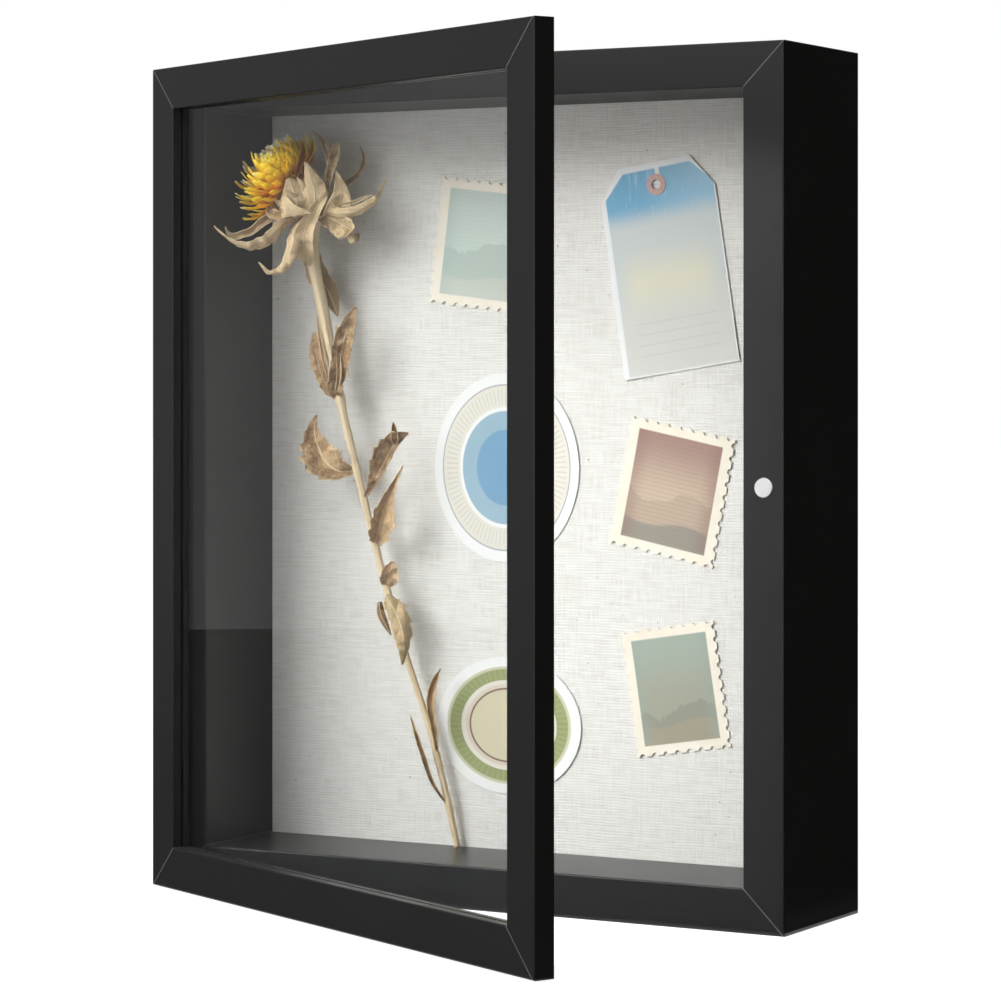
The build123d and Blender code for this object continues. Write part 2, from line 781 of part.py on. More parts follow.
with BuildPart() as label_blue:
    add(oval_card(card_plane(oval_blue_spot), oval_blue_size))

with BuildPart() as label_olive:
    add(oval_card(card_plane(oval_olive_spot), oval_olive_size))

# Dried flower: the stem stands on the floor, and the head looks forwards, up and to the left
head_axis = shown(head_centre) - shown(head_foot)
head_place = Plane(origin=shown(head_foot), x_dir=(1, 0, 0), z_dir=head_axis)
stem_spine = [shown(point) for point in stem_points]

# The stem's line runs on into the head, and the stem is cut off where the cup stands on it
with BuildPart() as flower_stem:
    for index, point in enumerate(stem_spine):
        place = station(stem_spine, index, (1, 0, 0))
        if index == 0:
            place = Plane(origin=point, x_dir=(1, 0, 0), z_dir=(0, 0, 1))
        with BuildSketch(place):
            Circle(stem_foot_radius + stem_swell * index / len(stem_spine))
    loft(ruled=True)
    split(bisect_by=head_place, keep=Keep.BOTTOM)

with BuildPart() as flower_calyx:
    with BuildSketch(Plane(origin=head_place.origin, x_dir=head_place.x_dir, z_dir=-head_place.y_dir)):
        with BuildLine():
            Line((0, 0), (cup_foot_radius, 0))
            ThreePointArc(
                (cup_foot_radius, 0),
                ((cup_foot_radius + cup_radius) / 2 + cup_bulge, cup_height / 2 - cup_bulge),
                (cup_radius, cup_height),
            )
            Line((cup_radius, cup_height), (0, cup_height))
            Line((0, cup_height), (0, 0))
        make_face()
    revolve(axis=Axis(head_place.origin, head_place.z_dir))
    for points, widths, across in curled_bracts:
        add(blade([shown(point) for point in points], widths, across))
    for index in range(bract_count):
        turned = head_place.location * Location((0, 0, 0), (0, 0, 360 * (index + 0.5) / bract_count))
        outwards = Plane(turned)
        midrib = [outwards.from_local_coords((radius, 0, height)) for radius, height in bract_midrib]
        add(blade(midrib, bract_widths, outwards.y_dir))

with BuildPart() as flower_petals:
    dome_radius = (disc_radius**2 + disc_crown**2) / (2 * disc_crown)
    with Locations(head_place.offset(cup_height + disc_crown - dome_radius)):
        Sphere(dome_radius)
    split(bisect_by=head_place.offset(cup_height), keep=Keep.TOP)
    for turn, row in enumerate(petal_rows):
        add(petal_row(*row, petal_row_turn * turn))

stem_leaf_parts = {name: leaf_on_stem(*shape) for name, shape in stem_leaves.items()}

pieces = {
    "case_left_board": case_left_board,
    "case_right_board": case_right_board,
    "case_bottom_board": case_bottom_board,
    "case_top_board": case_top_board,
    "case_v_nails": case_v_nails,
    "case_magnet": case_magnet,
    "linen_cover": linen_cover,
    "pin_board": pin_board,
    "backing_board": backing_board,
    "flex_points": flex_points,
    "portrait_hanger": portrait_hanger,
    "landscape_hanger": landscape_hanger,
    "hanger_rivets": hanger_rivets,
    "hinge_lower_case_leaf": hinge_lower_case_leaf,
    "hinge_upper_case_leaf": hinge_upper_case_leaf,
    "hinge_lower_pin": hinge_lower_pin,
    "hinge_upper_pin": hinge_upper_pin,
    "hinge_case_screws": hinge_case_screws,
    "door_left_stile": door_left_stile,
    "door_right_stile": door_right_stile,
    "door_bottom_rail": door_bottom_rail,
    "door_top_rail": door_top_rail,
    "door_v_nails": door_v_nails,
    "door_glass": door_glass,
    "door_magnet": door_magnet,
    "hinge_lower_door_leaf": hinge_lower_door_leaf,
    "hinge_upper_door_leaf": hinge_upper_door_leaf,
    "hinge_door_screws": hinge_door_screws,
    "tag_card": tag_card,
    "tag_eyelet": tag_eyelet,
    "stamp_mauve": stamp_mauve,
    "stamp_green": stamp_green,
    "stamp_sage": stamp_sage,
    "label_blue": label_blue,
    "label_olive": label_olive,
    "flower_stem": flower_stem,
    "flower_calyx": flower_calyx,
    "flower_petals": flower_petals,
    **stem_leaf_parts,
}

os.makedirs("parts", exist_ok=True)
for name, piece in pieces.items():
    piece.part.label = name
    export_step(piece.part, f"parts/{name}.step")
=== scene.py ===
# %% [markdown]
# # Dressing a shadow box frame
# A shadow box is a deep picture frame with a door of glass. The construction is already fixed: it comes
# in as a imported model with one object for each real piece. What is left is the finish of the black
# paint, the cloth on the back, the paper keepsakes and the dried flower, which were plain solids so far.

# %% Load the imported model
import bmesh
import bpy
import json
import random
from math import cos, pi, radians, sin
from mathutils import Matrix, Vector, noise


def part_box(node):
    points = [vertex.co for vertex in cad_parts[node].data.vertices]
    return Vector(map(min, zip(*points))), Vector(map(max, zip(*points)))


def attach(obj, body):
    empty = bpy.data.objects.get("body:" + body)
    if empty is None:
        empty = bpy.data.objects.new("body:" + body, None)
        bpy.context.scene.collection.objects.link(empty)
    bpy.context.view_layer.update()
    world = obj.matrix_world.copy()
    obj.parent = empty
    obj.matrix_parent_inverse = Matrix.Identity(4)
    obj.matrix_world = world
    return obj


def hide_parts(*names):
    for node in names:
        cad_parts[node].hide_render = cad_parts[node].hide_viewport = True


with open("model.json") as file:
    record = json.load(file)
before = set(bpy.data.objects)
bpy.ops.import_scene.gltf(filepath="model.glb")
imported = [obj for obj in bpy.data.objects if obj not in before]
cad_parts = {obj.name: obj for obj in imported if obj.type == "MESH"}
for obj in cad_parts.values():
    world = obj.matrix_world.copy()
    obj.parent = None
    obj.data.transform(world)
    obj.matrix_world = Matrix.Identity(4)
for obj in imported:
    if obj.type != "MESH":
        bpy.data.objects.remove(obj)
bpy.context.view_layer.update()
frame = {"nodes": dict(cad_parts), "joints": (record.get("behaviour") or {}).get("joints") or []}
nodes = frame["nodes"]
print("pieces in the frame:", len(nodes))

# %% [markdown]
# Blender counts in metres and a frame maker in millimetres, so one factor turns one into the other. The
# linen-covered panel sits in a rabbet, which laps over its edge. Its box, less that lap, gives the
# inside walls of the case, and every place in the display is measured from those.

# %% Places in the case
MM = 0.001
panel_lap = 4.5 * MM
panel_low, panel_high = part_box("linen_cover")
wall_left = panel_low.x + panel_lap
wall_right = panel_high.x - panel_lap
floor_top = panel_low.z + panel_lap
linen_front = panel_low.y


def shown(across, forwards, up):
    """A place given in millimetres from the left wall, the linen and the floor of the case."""
    return Vector((wall_left + across * MM, linen_front - forwards * MM, floor_top + up * MM))


print("display space:", round((wall_right - wall_left) / MM), "mm wide")

# %% [markdown]
# The camera stands where the photographer stood: level, a little above the frame's middle, and turned
# so that it looks past the open door. Upright edges stay upright because the camera isn't tilted. The
# picture is moved down by a lens shift instead, as an architect's camera does.

# %% Camera
camera_data = bpy.data.cameras.new("camera")
camera_data.sensor_width = 36.0
camera_data.lens = 128.4
camera_data.shift_y = -0.138
camera = bpy.data.objects.new("camera", camera_data)
camera.location = (0.6013, -1.0578, 0.1825)
camera.rotation_euler = (radians(90), 0, radians(29.725))
bpy.context.scene.collection.objects.link(camera)
bpy.context.scene.camera = camera
bpy.context.scene.view_settings.view_transform = "Standard"

# %% [markdown]
# Every finish here is procedural: a small graph of nodes that works out colour, roughness and relief
# from a point's place. Wiring such a graph by hand is wordy, so this small class makes a node, sets its
# sockets and hands back its result in one line each.


# %% A helper for procedural finishes
class Finish:
    """A material whose graph is built one node at a time."""

    def __init__(self, name, roughness=0.5, metallic=0.0):
        self.material = bpy.data.materials.new(name)
        self.material.use_nodes = True
        self.tree = self.material.node_tree
        self.shader = self.tree.nodes["Principled BSDF"]
        self.feed("Roughness", roughness)
        self.feed("Metallic", metallic)

    def feed(self, socket, value):
        """Link a result to a socket, or set the socket to a plain value."""
        if isinstance(socket, str):
            socket = self.shader.inputs[socket]
        if isinstance(value, bpy.types.NodeSocket):
            self.tree.links.new(value, socket)
        elif socket.type == "RGBA":
            socket.default_value = (*value, 1.0)
        else:
            socket.default_value = value

    def node(self, kind, inputs=(), **settings):
        made = self.tree.nodes.new("ShaderNode" + kind)
        for name, value in settings.items():
            setattr(made, name, value)
        for name, value in dict(inputs).items():
            self.feed(made.inputs[name], value)
        return made

    def place(self):
        return self.node("TexCoord").outputs["Object"]

    def axes(self, vector):
        return self.node("SeparateXYZ", {0: vector}).outputs[:3]

    def vector(self, x, y, z):
        return self.node("CombineXYZ", {0: x, 1: y, 2: z}).outputs[0]

    def stretched(self, vector, scale):
        return self.node("Mapping", {"Vector": vector, "Scale": scale}).outputs[0]

    def math(self, operation, *values):
        return self.node("Math", enumerate(values), operation=operation).outputs[0]

    def times(self, first, second):
        return self.math("MULTIPLY", first, second)

    def scaled(self, value, factor, shift):
        """The value times a factor, plus a shift."""
        return self.math("MULTIPLY_ADD", value, factor, shift)

    def step(self, value, low, high):
        """A soft switch from 0 at low to 1 at high; low may be the larger."""
        inputs = {"Value": value, "From Min": low, "From Max": high}
        return self.node("MapRange", inputs, interpolation_type="SMOOTHSTEP").outputs[0]

    def blend(self, share, first, second):
        """The first colour where share is 0, and the second where it is 1."""
        return self.node("Mix", {0: share, 6: first, 7: second}, data_type="RGBA").outputs[2]

    def noise(self, vector, scale, detail, roughness=0.5):
        inputs = {"Vector": vector, "Scale": scale, "Detail": detail, "Roughness": roughness}
        return self.node("TexNoise", inputs).outputs["Fac"]

    def relief(self, height, depth, strength=1.0):
        inputs = {"Height": height, "Distance": depth, "Strength": strength}
        self.feed("Normal", self.node("Bump", inputs).outputs[0])

    def uv(self):
        """Along and across a blade or the stem, each from 0 to 1."""
        return self.axes(self.node("UVMap", uv_map="UVMap").outputs[0])[:2]

    def tone(self):
        """The tone that a blade was given."""
        return self.node("Attribute", attribute_name="tone").outputs["Fac"]

    def lay_over(self, share, other):
        """Let another shader show by a share from 0 to 1."""
        mixed = self.node("MixShader", {0: share, 1: self.shader.outputs[0], 2: other}).outputs[0]
        self.feed(self.tree.nodes["Material Output"].inputs["Surface"], mixed)

    def translucent(self, weight, radius, scale):
        """Let light soak in: radius is how far its red, green and blue go, as shares of scale."""
        self.feed("Subsurface Weight", weight)
        self.feed("Subsurface Radius", radius)
        self.feed("Subsurface Scale", scale)


def wear(finish, *names):
    """Give the named pieces of the frame this finish."""
    for name in names:
        slots = nodes[name].material_slots
        for slot in slots:
            slot.material = finish.material
        if not slots:
            nodes[name].data.materials.append(finish.material)


# %% [markdown]
# The boards are lacquered in satin black. Two things make such a surface look real. The lacquer has a
# very shallow ripple, so its sheen isn't as even as plastic. And where two boards meet, a shallow groove
# runs along the mitre, and a pale hairline is painted there as a painted highlight, the light that the
# joint's edges catch. A point lies on a mitre when it is as far from the frame's side as from its end,
# so the line is drawn from that difference.


# %% Black lacquer
def black_lacquer(name, turn, pivot, half_width, half_height):
    """Satin lacquer for a mitred frame that is turned about an upright axis at pivot."""
    lacquer = Finish(name)
    place = lacquer.place()
    inputs = {"Vector": place, "Center": pivot, "Angle": turn}
    squared = lacquer.node("VectorRotate", inputs, rotation_type="Z_AXIS").outputs[0]
    x, _, z = lacquer.axes(squared)
    off_centre = lacquer.math("ABSOLUTE", lacquer.math("SUBTRACT", z, half_height))
    from_side = lacquer.math("SUBTRACT", half_width, lacquer.math("ABSOLUTE", x))
    from_end = lacquer.math("SUBTRACT", half_height, off_centre)
    off_mitre = lacquer.math("ABSOLUTE", lacquer.math("SUBTRACT", from_side, from_end))
    mitre_groove_and_highlight = lacquer.step(off_mitre, 0.30 * MM, 0.14 * MM)
    ripple = lacquer.noise(place, 420.0, 3.0)
    cloud = lacquer.noise(place, 18.0, 2.0)
    ground = lacquer.blend(cloud, (0.0205, 0.0205, 0.0207), (0.0235, 0.0235, 0.0237))
    # Pale along each mitre: a painted highlight, the light that the joint's edges catch.
    lacquer.feed("Base Color", lacquer.blend(mitre_groove_and_highlight, ground, (0.17, 0.17, 0.17)))
    lacquer.feed("Roughness", lacquer.scaled(cloud, 0.08, 0.27))
    lacquer.feed("Specular IOR Level", 0.30)
    lacquer.relief(lacquer.scaled(mitre_groove_and_highlight, -3.0, ripple), 0.02 * MM)
    return lacquer


hinge = frame["joints"][0]
hinge_at = Vector(hinge["pos_m"])
open_angle = radians(-hinge["range_deg"][0])
case_low, case_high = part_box("case_left_board")
half_width = -case_low.x
half_height = case_high.z / 2
case_lacquer = black_lacquer("case_lacquer", 0.0, (0, 0, 0), half_width, half_height)
door_lacquer = black_lacquer("door_lacquer", open_angle, hinge_at, half_width, half_height)
wear(case_lacquer, "case_left_board", "case_right_board", "case_bottom_board", "case_top_board")
wear(door_lacquer, "door_left_stile", "door_right_stile", "door_bottom_rail", "door_top_rail")
print("door turned back by", round(open_angle / radians(1), 2), "degrees to find its mitres")

# %% [markdown]
# The pane is two millimetres of clear float glass. True refraction would fill the case with noise, so
# light on its way to a lamp passes straight through: the glass is mixed with a transparent shader for
# shadow rays only.


# %% Glass
def pane_glass():
    glass = Finish("pane_glass", roughness=0.0)
    glass.feed("Base Color", (0.985, 0.992, 0.99))
    glass.feed("Transmission Weight", 1.0)
    glass.feed("IOR", 1.5)
    shadow = glass.node("LightPath").outputs["Is Shadow Ray"]
    clear = glass.node("BsdfTransparent", {"Color": (0.94, 0.95, 0.95)}).outputs[0]
    glass.lay_over(shadow, clear)
    return glass


wear(pane_glass(), "door_glass")

# %% [markdown]
# Metals differ in colour and in how finely they are rubbed. The magnets are bright nickel, the hinges
# are black, and what is hidden at the back is zinc plated steel with its faint cloudy bloom.


# %% Metals
def metal(name, colour, rough, bloom):
    """A metal with a cloudy bloom and fine rub marks."""
    made = Finish(name, metallic=1.0)
    place = made.place()
    cloud = made.noise(place, 160.0, 4.0)
    rub = made.noise(made.stretched(place, (900.0, 900.0, 90.0)), 4.0, 2.0)
    darker = [part * (1.0 - bloom) for part in colour]
    made.feed("Base Color", made.blend(cloud, darker, colour))
    made.feed("Roughness", made.scaled(cloud, 0.18, rough))
    made.relief(rub, 0.01 * MM, 0.6)
    return made


wear(metal("bright_nickel", (0.94, 0.93, 0.95), 0.12, 0.04), "case_magnet", "door_magnet")
wear(
    metal("zinc_plate", (0.62, 0.63, 0.65), 0.30, 0.25),
    "case_v_nails", "door_v_nails", "flex_points", "portrait_hanger", "landscape_hanger", "hanger_rivets",
)
wear(
    metal("black_steel", (0.055, 0.055, 0.058), 0.32, 0.30),
    "hinge_lower_case_leaf", "hinge_upper_case_leaf", "hinge_lower_door_leaf", "hinge_upper_door_leaf",
    "hinge_lower_pin", "hinge_upper_pin", "hinge_case_screws", "hinge_door_screws",
)

# %% [markdown]
# The back of the frame is closed by hardboard, which is pressed wood fibre. It is a warm brown with
# short dark and pale fibres lying every way, so two noises stretched across each other make its mottle.


# %% Hardboard and foam board
def hardboard():
    board = Finish("hardboard", roughness=0.62)
    place = board.place()
    lengthways = board.noise(board.stretched(place, (260.0, 260.0, 1500.0)), 1.0, 3.0)
    crossways = board.noise(board.stretched(place, (1500.0, 260.0, 260.0)), 1.0, 3.0)
    fibre = board.math("MAXIMUM", lengthways, crossways)
    colour = board.blend(board.step(fibre, 0.35, 0.75), (0.115, 0.062, 0.030), (0.270, 0.165, 0.090))
    board.feed("Base Color", colour)
    board.relief(fibre, 0.05 * MM)
    return board


def foam_board():
    board = Finish("foam_board", roughness=0.85)
    speck = board.noise(board.place(), 900.0, 2.0)
    board.feed("Base Color", board.blend(speck, (0.70, 0.70, 0.67), (0.84, 0.84, 0.81)))
    board.relief(speck, 0.03 * MM)
    return board


wear(hardboard(), "backing_board")
wear(foam_board(), "pin_board")

# %% [markdown]
# New pieces all end the same way: the bmesh becomes a mesh object at the origin, takes its finish, is
# tied to the body that carries it, and hides the plain solids that it takes the place of.


# %% Turning a bmesh into a piece of the object
def mesh_object(shape, name, finish, smooth=False):
    """Make the object for a finished bmesh."""
    mesh = bpy.data.meshes.new(name)
    for face in shape.faces:
        face.smooth = smooth
    shape.to_mesh(mesh)
    shape.free()
    mesh.materials.append(finish.material)
    made = bpy.data.objects.new(name, mesh)
    bpy.context.scene.collection.objects.link(made)
    return made


def piece(shape, name, finish, replaced, smooth=True):
    """Make a piece of the object, which rides on the case."""
    made = mesh_object(shape, name, finish, smooth)
    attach(made, "case")
    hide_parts(*replaced)
    print(name, "has", len(made.data.polygons), "faces")
    return made


def thicken(made, thickness):
    """Give a sheet its thickness, half to each side."""
    solid = made.modifiers.new("thickness", "SOLIDIFY")
    solid.thickness = thickness
    solid.offset = 0.0


# %% [markdown]
# Linen is a plain weave: each thread goes over one and under the next. A thread is a round ridge, which
# is the height of a sine, and the product of the two sines tells which of the two lies on top. Where that
# height is low, between the threads, the cloth is painted dark as painted shade in the weave's hollows.
# Flax is uneven, so the threads wander a little, some stretches are thick, and here and there a dark
# fleck of stalk was spun in.


# %% Linen
def linen_weave(pitch):
    """Undyed linen whose threads lie one pitch apart."""
    linen = Finish("undyed_linen", roughness=0.93)
    linen.feed("Sheen Weight", 0.15)
    place = linen.place()
    x, _, z = linen.axes(place)
    wander = 1.3 * MM
    warp_at = linen.scaled(linen.noise(place, 60.0, 3.0), wander, x)
    weft_at = linen.scaled(linen.noise(linen.stretched(place, (1, 1, 1.7)), 75.0, 3.0), wander, z)
    warp_wave = linen.math("SINE", linen.times(warp_at, pi / pitch))
    weft_wave = linen.math("SINE", linen.times(weft_at, pi / pitch))
    over = linen.scaled(linen.times(warp_wave, weft_wave), 0.5, 0.5)
    under = linen.math("SUBTRACT", 1.0, over)
    warp = linen.times(linen.math("ABSOLUTE", warp_wave), over)
    weft = linen.times(linen.math("ABSOLUTE", weft_wave), under)
    thread = linen.math("ADD", warp, weft)
    slub_up = linen.noise(linen.stretched(place, (1180.0, 1.0, 110.0)), 1.0, 3.0, 0.65)
    slub_across = linen.noise(linen.stretched(place, (95.0, 1.0, 1180.0)), 1.0, 3.0, 0.65)
    slub = linen.step(linen.scaled(slub_up, 0.42, linen.times(slub_across, 0.58)), 0.36, 0.58)
    fleck = linen.step(linen.noise(linen.stretched(place, (520.0, 1.0, 820.0)), 1.0, 1.0), 0.72, 0.79)
    shade = linen.noise(place, 9.0, 2.0)
    cloth = linen.blend(shade, (0.800, 0.785, 0.745), (0.840, 0.830, 0.800))
    # Painted shade: darker between the threads, in the hollows of the weave.
    cloth = linen.blend(linen.step(thread, 0.0, 0.46), (0.36, 0.33, 0.29), cloth)
    cloth = linen.blend(slub, (0.690, 0.665, 0.620), cloth)
    cloth = linen.blend(linen.times(fleck, 0.7), cloth, (0.24, 0.20, 0.15))
    linen.feed("Base Color", cloth)
    height = linen.scaled(slub, 0.35, thread)
    linen.relief(height, 0.16 * MM)
    return linen


# %% [markdown]
# The cloth was cut about a finger's width larger than the board all round, pulled tight over its front
# and glued down behind. One grid makes it: its rim is extruded back over the board's edge and then
# inwards, and the mitred corners of the turn-in come by themselves because each new rim is scaled.


# %% The linen cover
def linen_cover(thickness, turn_in):
    """A sheet over the front, round the edges and turned in behind the pin board."""
    width = panel_high.x - panel_low.x - thickness
    height = panel_high.z - panel_low.z - thickness
    depth = panel_high.y - panel_low.y - thickness
    middle = (panel_low + panel_high) / 2
    sheet = bmesh.new()
    bmesh.ops.create_grid(sheet, x_segments=36, y_segments=44, size=0.5)
    lie_flat = Matrix.Rotation(radians(90), 4, "X") @ Matrix.Diagonal((width, height, 1, 1))
    at_front = Matrix.Translation((middle.x, panel_low.y + thickness / 2, middle.z))
    bmesh.ops.transform(sheet, matrix=at_front @ lie_flat, verts=sheet.verts)
    moves = [
        (Vector((0, depth, 0)), 1.0, 1.0),
        (Vector(), 1 - 2 * turn_in / width, 1 - 2 * turn_in / height),
    ]
    for move, narrower, shorter in moves:
        rim = [edge for edge in sheet.edges if edge.is_boundary]
        made = bmesh.ops.extrude_edge_only(sheet, edges=rim)
        verts = [item for item in made["geom"] if isinstance(item, bmesh.types.BMVert)]
        bmesh.ops.translate(sheet, vec=move, verts=verts)
        space = Matrix.Translation((-middle.x, 0, -middle.z))
        bmesh.ops.scale(sheet, vec=(narrower, 1, shorter), space=space, verts=verts)
    bmesh.ops.recalc_face_normals(sheet, faces=sheet.faces)
    made = piece(sheet, "linen_on_board", linen_weave(0.95 * MM), ["linen_cover"], smooth=False)
    thicken(made, 0.8 * thickness)
    return made


linen = linen_cover(0.5 * MM, 14 * MM)

# %% [markdown]
# Each keepsake is a card with a printed picture. The plain solid already has the right outline, down to
# the bites of a stamp's perforation, so a merged copy of it is cut into a fine grid and bent a little:
# paper that has been handled never lies dead flat. The print is worked out in the card's own
# directions, from -1 to 1 across and up, which a Mapping node finds by undoing the card's turn.


# %% Bending a card
def card(node, name, finish, turn, curl):
    """A slightly curled copy of a flat card, its corners lifted by curl."""
    low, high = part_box(node)
    middle = (low + high) / 2
    shape = bmesh.new()
    shape.from_mesh(nodes[node].data)
    bmesh.ops.remove_doubles(shape, verts=shape.verts, dist=0.004 * MM)
    cuts = 14
    for index in range(1, cuts):
        for axis in (0, 2):
            point = middle.copy()
            point[axis] = low[axis] + (high[axis] - low[axis]) * index / cuts
            normal = Vector((axis == 0, 0, axis == 2))
            everything = shape.verts[:] + shape.edges[:] + shape.faces[:]
            bmesh.ops.bisect_plane(shape, geom=everything, plane_co=point, plane_no=normal)
    half = (high - low) / 2
    for vert in shape.verts:
        across = (vert.co.x - middle.x) / half.x
        up = (vert.co.z - middle.z) / half.z
        ripple = noise.noise(vert.co * 45 + Vector((turn, 0, 0)))
        lift = 0.5 * (across * across + up * up) + 0.35 * across * up + 0.5 * ripple
        vert.co.y -= curl * max(lift, 0.0)
    piece(shape, name, finish, [node], smooth=False)


def card_axes(finish, node, turn, size):
    """Across and up on a card, each from -1 to 1, for a card turned anticlockwise by turn."""
    low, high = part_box(node)
    inputs = {
        "Vector": finish.place(),
        "Location": (low + high) / 2,
        "Rotation": (0, -radians(turn), 0),
        "Scale": (size[0] / 2 * MM, 1, size[1] / 2 * MM),
    }
    on_card = finish.node("Mapping", inputs, vector_type="TEXTURE").outputs[0]
    across, _, up = finish.axes(on_card)
    return across, up


def inside(finish, across, up, left, right, bottom, top, soft=0.012):
    """1 within a rectangle of the card and 0 outside it."""
    shares = [
        finish.step(across, left - soft, left + soft),
        finish.step(across, right + soft, right - soft),
        finish.step(up, bottom - soft, bottom + soft),
        finish.step(up, top + soft, top - soft),
    ]
    share = shares[0]
    for other in shares[1:]:
        share = finish.times(share, other)
    return share


def paper(name):
    """Uncoated paper: nearly matt, with a fine tooth."""
    made = Finish(name, roughness=0.78)
    made.relief(made.noise(made.place(), 2600.0, 2.0), 0.03 * MM)
    return made


# %% [markdown]
# The luggage tag carries a saturated blue band over a faded lower half, with a narrow white margin. The
# sides of the band are drawn with soft rectangles, and a few upright streaks are pale scratches.


# %% Luggage tag
def tag_print(turn, size):
    art = paper("tag_print")
    across, up = card_axes(art, "tag_card", turn, size)
    place = art.place()
    body = inside(art, across, up, -0.945, 0.945, -0.965, 0.965)
    shoulders = [art.step(art.scaled(across, slope, up), 1.34, 1.32) for slope in (0.62, -0.62)]
    picture = art.times(body, art.times(*shoulders))
    fade = art.step(up, 0.42, 0.66)
    streak = art.noise(art.stretched(place, (900.0, 1.0, 120.0)), 1.0, 2.0)
    sky = art.blend(art.step(across, -0.6, 0.9), (0.19, 0.42, 0.60), (0.32, 0.52, 0.66))
    sky = art.blend(art.step(streak, 0.55, 0.72), sky, (0.33, 0.53, 0.68))
    lower = art.blend(art.step(up, -0.55, 0.25), (0.61, 0.61, 0.57), (0.57, 0.61, 0.60))
    patch = inside(art, across, up, -0.75, 0.70, -0.30, 0.10, 0.22)
    lower = art.blend(patch, lower, (0.68, 0.66, 0.53))
    rule = art.math("SINE", art.times(up, 62.0))
    ruled = art.times(art.step(rule, 0.93, 0.99), inside(art, across, up, -0.70, 0.70, -0.85, -0.42))
    lower = art.blend(art.times(ruled, 0.5), lower, (0.45, 0.47, 0.48))
    ink = art.blend(fade, lower, sky)
    thread = inside(art, across, up, -0.030, 0.045, 0.80, 0.99)
    ink = art.blend(thread, ink, (0.78, 0.74, 0.66))
    art.feed("Base Color", art.blend(picture, (0.79, 0.80, 0.80), ink))
    return art


def pink_paper():
    ring = paper("pink_paper")
    fibre = ring.noise(ring.place(), 1500.0, 3.0)
    ring.feed("Base Color", ring.blend(fibre, (0.52, 0.31, 0.29), (0.62, 0.44, 0.41)))
    return ring


tag_turn, tag_size = 8.8, (43.5, 71.0)
card("tag_card", "luggage_tag", tag_print(tag_turn, tag_size), tag_turn, 0.5 * MM)
wear(pink_paper(), "tag_eyelet")

# %% [markdown]
# The stamps are small engraved landscapes: bands of colour for sky, far hills and near ground, ruled
# with the fine lines of a printing plate, inside a cream margin. One loop prints and curls all three.


# %% Stamps
def stamp_print(name, node, turn, size, sky, hill, ground, rim, hill_height, line_pitch):
    """A printed landscape in four colours inside a cream margin."""
    art = paper(name)
    across, up = card_axes(art, node, turn, size)
    place = art.place()
    picture = inside(art, across, up, -0.80, 0.80, -0.84, 0.84)
    wave = art.math("SINE", art.times(across, 4.2))
    rough = art.noise(art.stretched(place, (170.0, 1.0, 60.0)), 1.0, 3.0)
    ridge = art.scaled(wave, 0.10, art.scaled(rough, 0.5, hill_height))
    far = art.step(art.math("SUBTRACT", up, ridge), 0.02, -0.02)
    near = art.step(art.scaled(wave, -0.05, up), -0.50, -0.56)
    band = art.step(up, -0.2, 0.85)
    above = art.blend(band, [min(1.0, part * 1.2) for part in hill], sky)
    ink = art.blend(far, above, hill)
    ink = art.blend(near, ink, ground)
    edge = art.step(art.math("ABSOLUTE", across), 0.45, 0.85)
    ink = art.blend(art.times(edge, 0.45), ink, rim)
    engraving = art.math("SINE", art.times(up, line_pitch))
    ink = art.blend(art.times(art.step(engraving, 0.2, 1.0), 0.16), ink, rim)
    stain = art.noise(place, 130.0, 3.0)
    margin = art.blend(stain, (0.80, 0.72, 0.58), (0.87, 0.83, 0.74))
    art.feed("Base Color", art.blend(picture, margin, ink))
    return art


# Each stamp: its name, turn, curl and size, the four colours, the hills' height and the lines' pitch
stamps = [
    ("mauve", -11.3, 0.45, (40.0, 44.0),
     (0.36, 0.235, 0.20), (0.48, 0.38, 0.29), (0.31, 0.28, 0.235), (0.27, 0.15, 0.13), -0.35, 95.0),
    ("green", 8.8, 0.40, (35.5, 42.5),
     (0.35, 0.41, 0.34), (0.29, 0.29, 0.23), (0.35, 0.31, 0.23), (0.30, 0.37, 0.33), -0.55, 110.0),
    ("sage", -7.0, 0.40, (40.0, 44.0),
     (0.53, 0.60, 0.55), (0.47, 0.55, 0.49), (0.55, 0.58, 0.51), (0.40, 0.50, 0.46), -0.30, 90.0),
]
for tint, turn, curl, size, *look in stamps:
    node = "stamp_" + tint
    finish = stamp_print(tint + "_print", node, turn, size, *look)
    card(node, tint + "_stamp", finish, turn, curl * MM)

# %% [markdown]
# The two labels are ovals printed in rings. How far a point is out from the middle picks its ring, and
# its bearing gives the fine ticks round the edge, as on a pressed seal.


# %% Oval labels
def label_print(name, node, size, rings, tick_count):
    """An oval label: rings holds each ring's outer share of the radius and its colour, inside first."""
    art = paper(name)
    across, up = card_axes(art, node, 0.0, size)
    out = art.node("VectorMath", {0: art.vector(across, 0.0, up)}, operation="LENGTH").outputs["Value"]
    bearing = art.math("ARCTAN2", up, across)
    ticks = art.step(art.math("SINE", art.times(bearing, tick_count)), 0.3, 0.8)
    colour = rings[0][1]
    for (edge, _), (_, beyond) in zip(rings, rings[1:]):
        colour = art.blend(art.step(out, edge - 0.008, edge + 0.008), colour, beyond)
    band = art.times(art.step(out, 0.66, 0.68), art.step(out, 0.84, 0.82))
    tick_share = art.times(art.times(ticks, band), 0.35)
    art.feed("Base Color", art.blend(tick_share, colour, (0.45, 0.40, 0.33)))
    return art


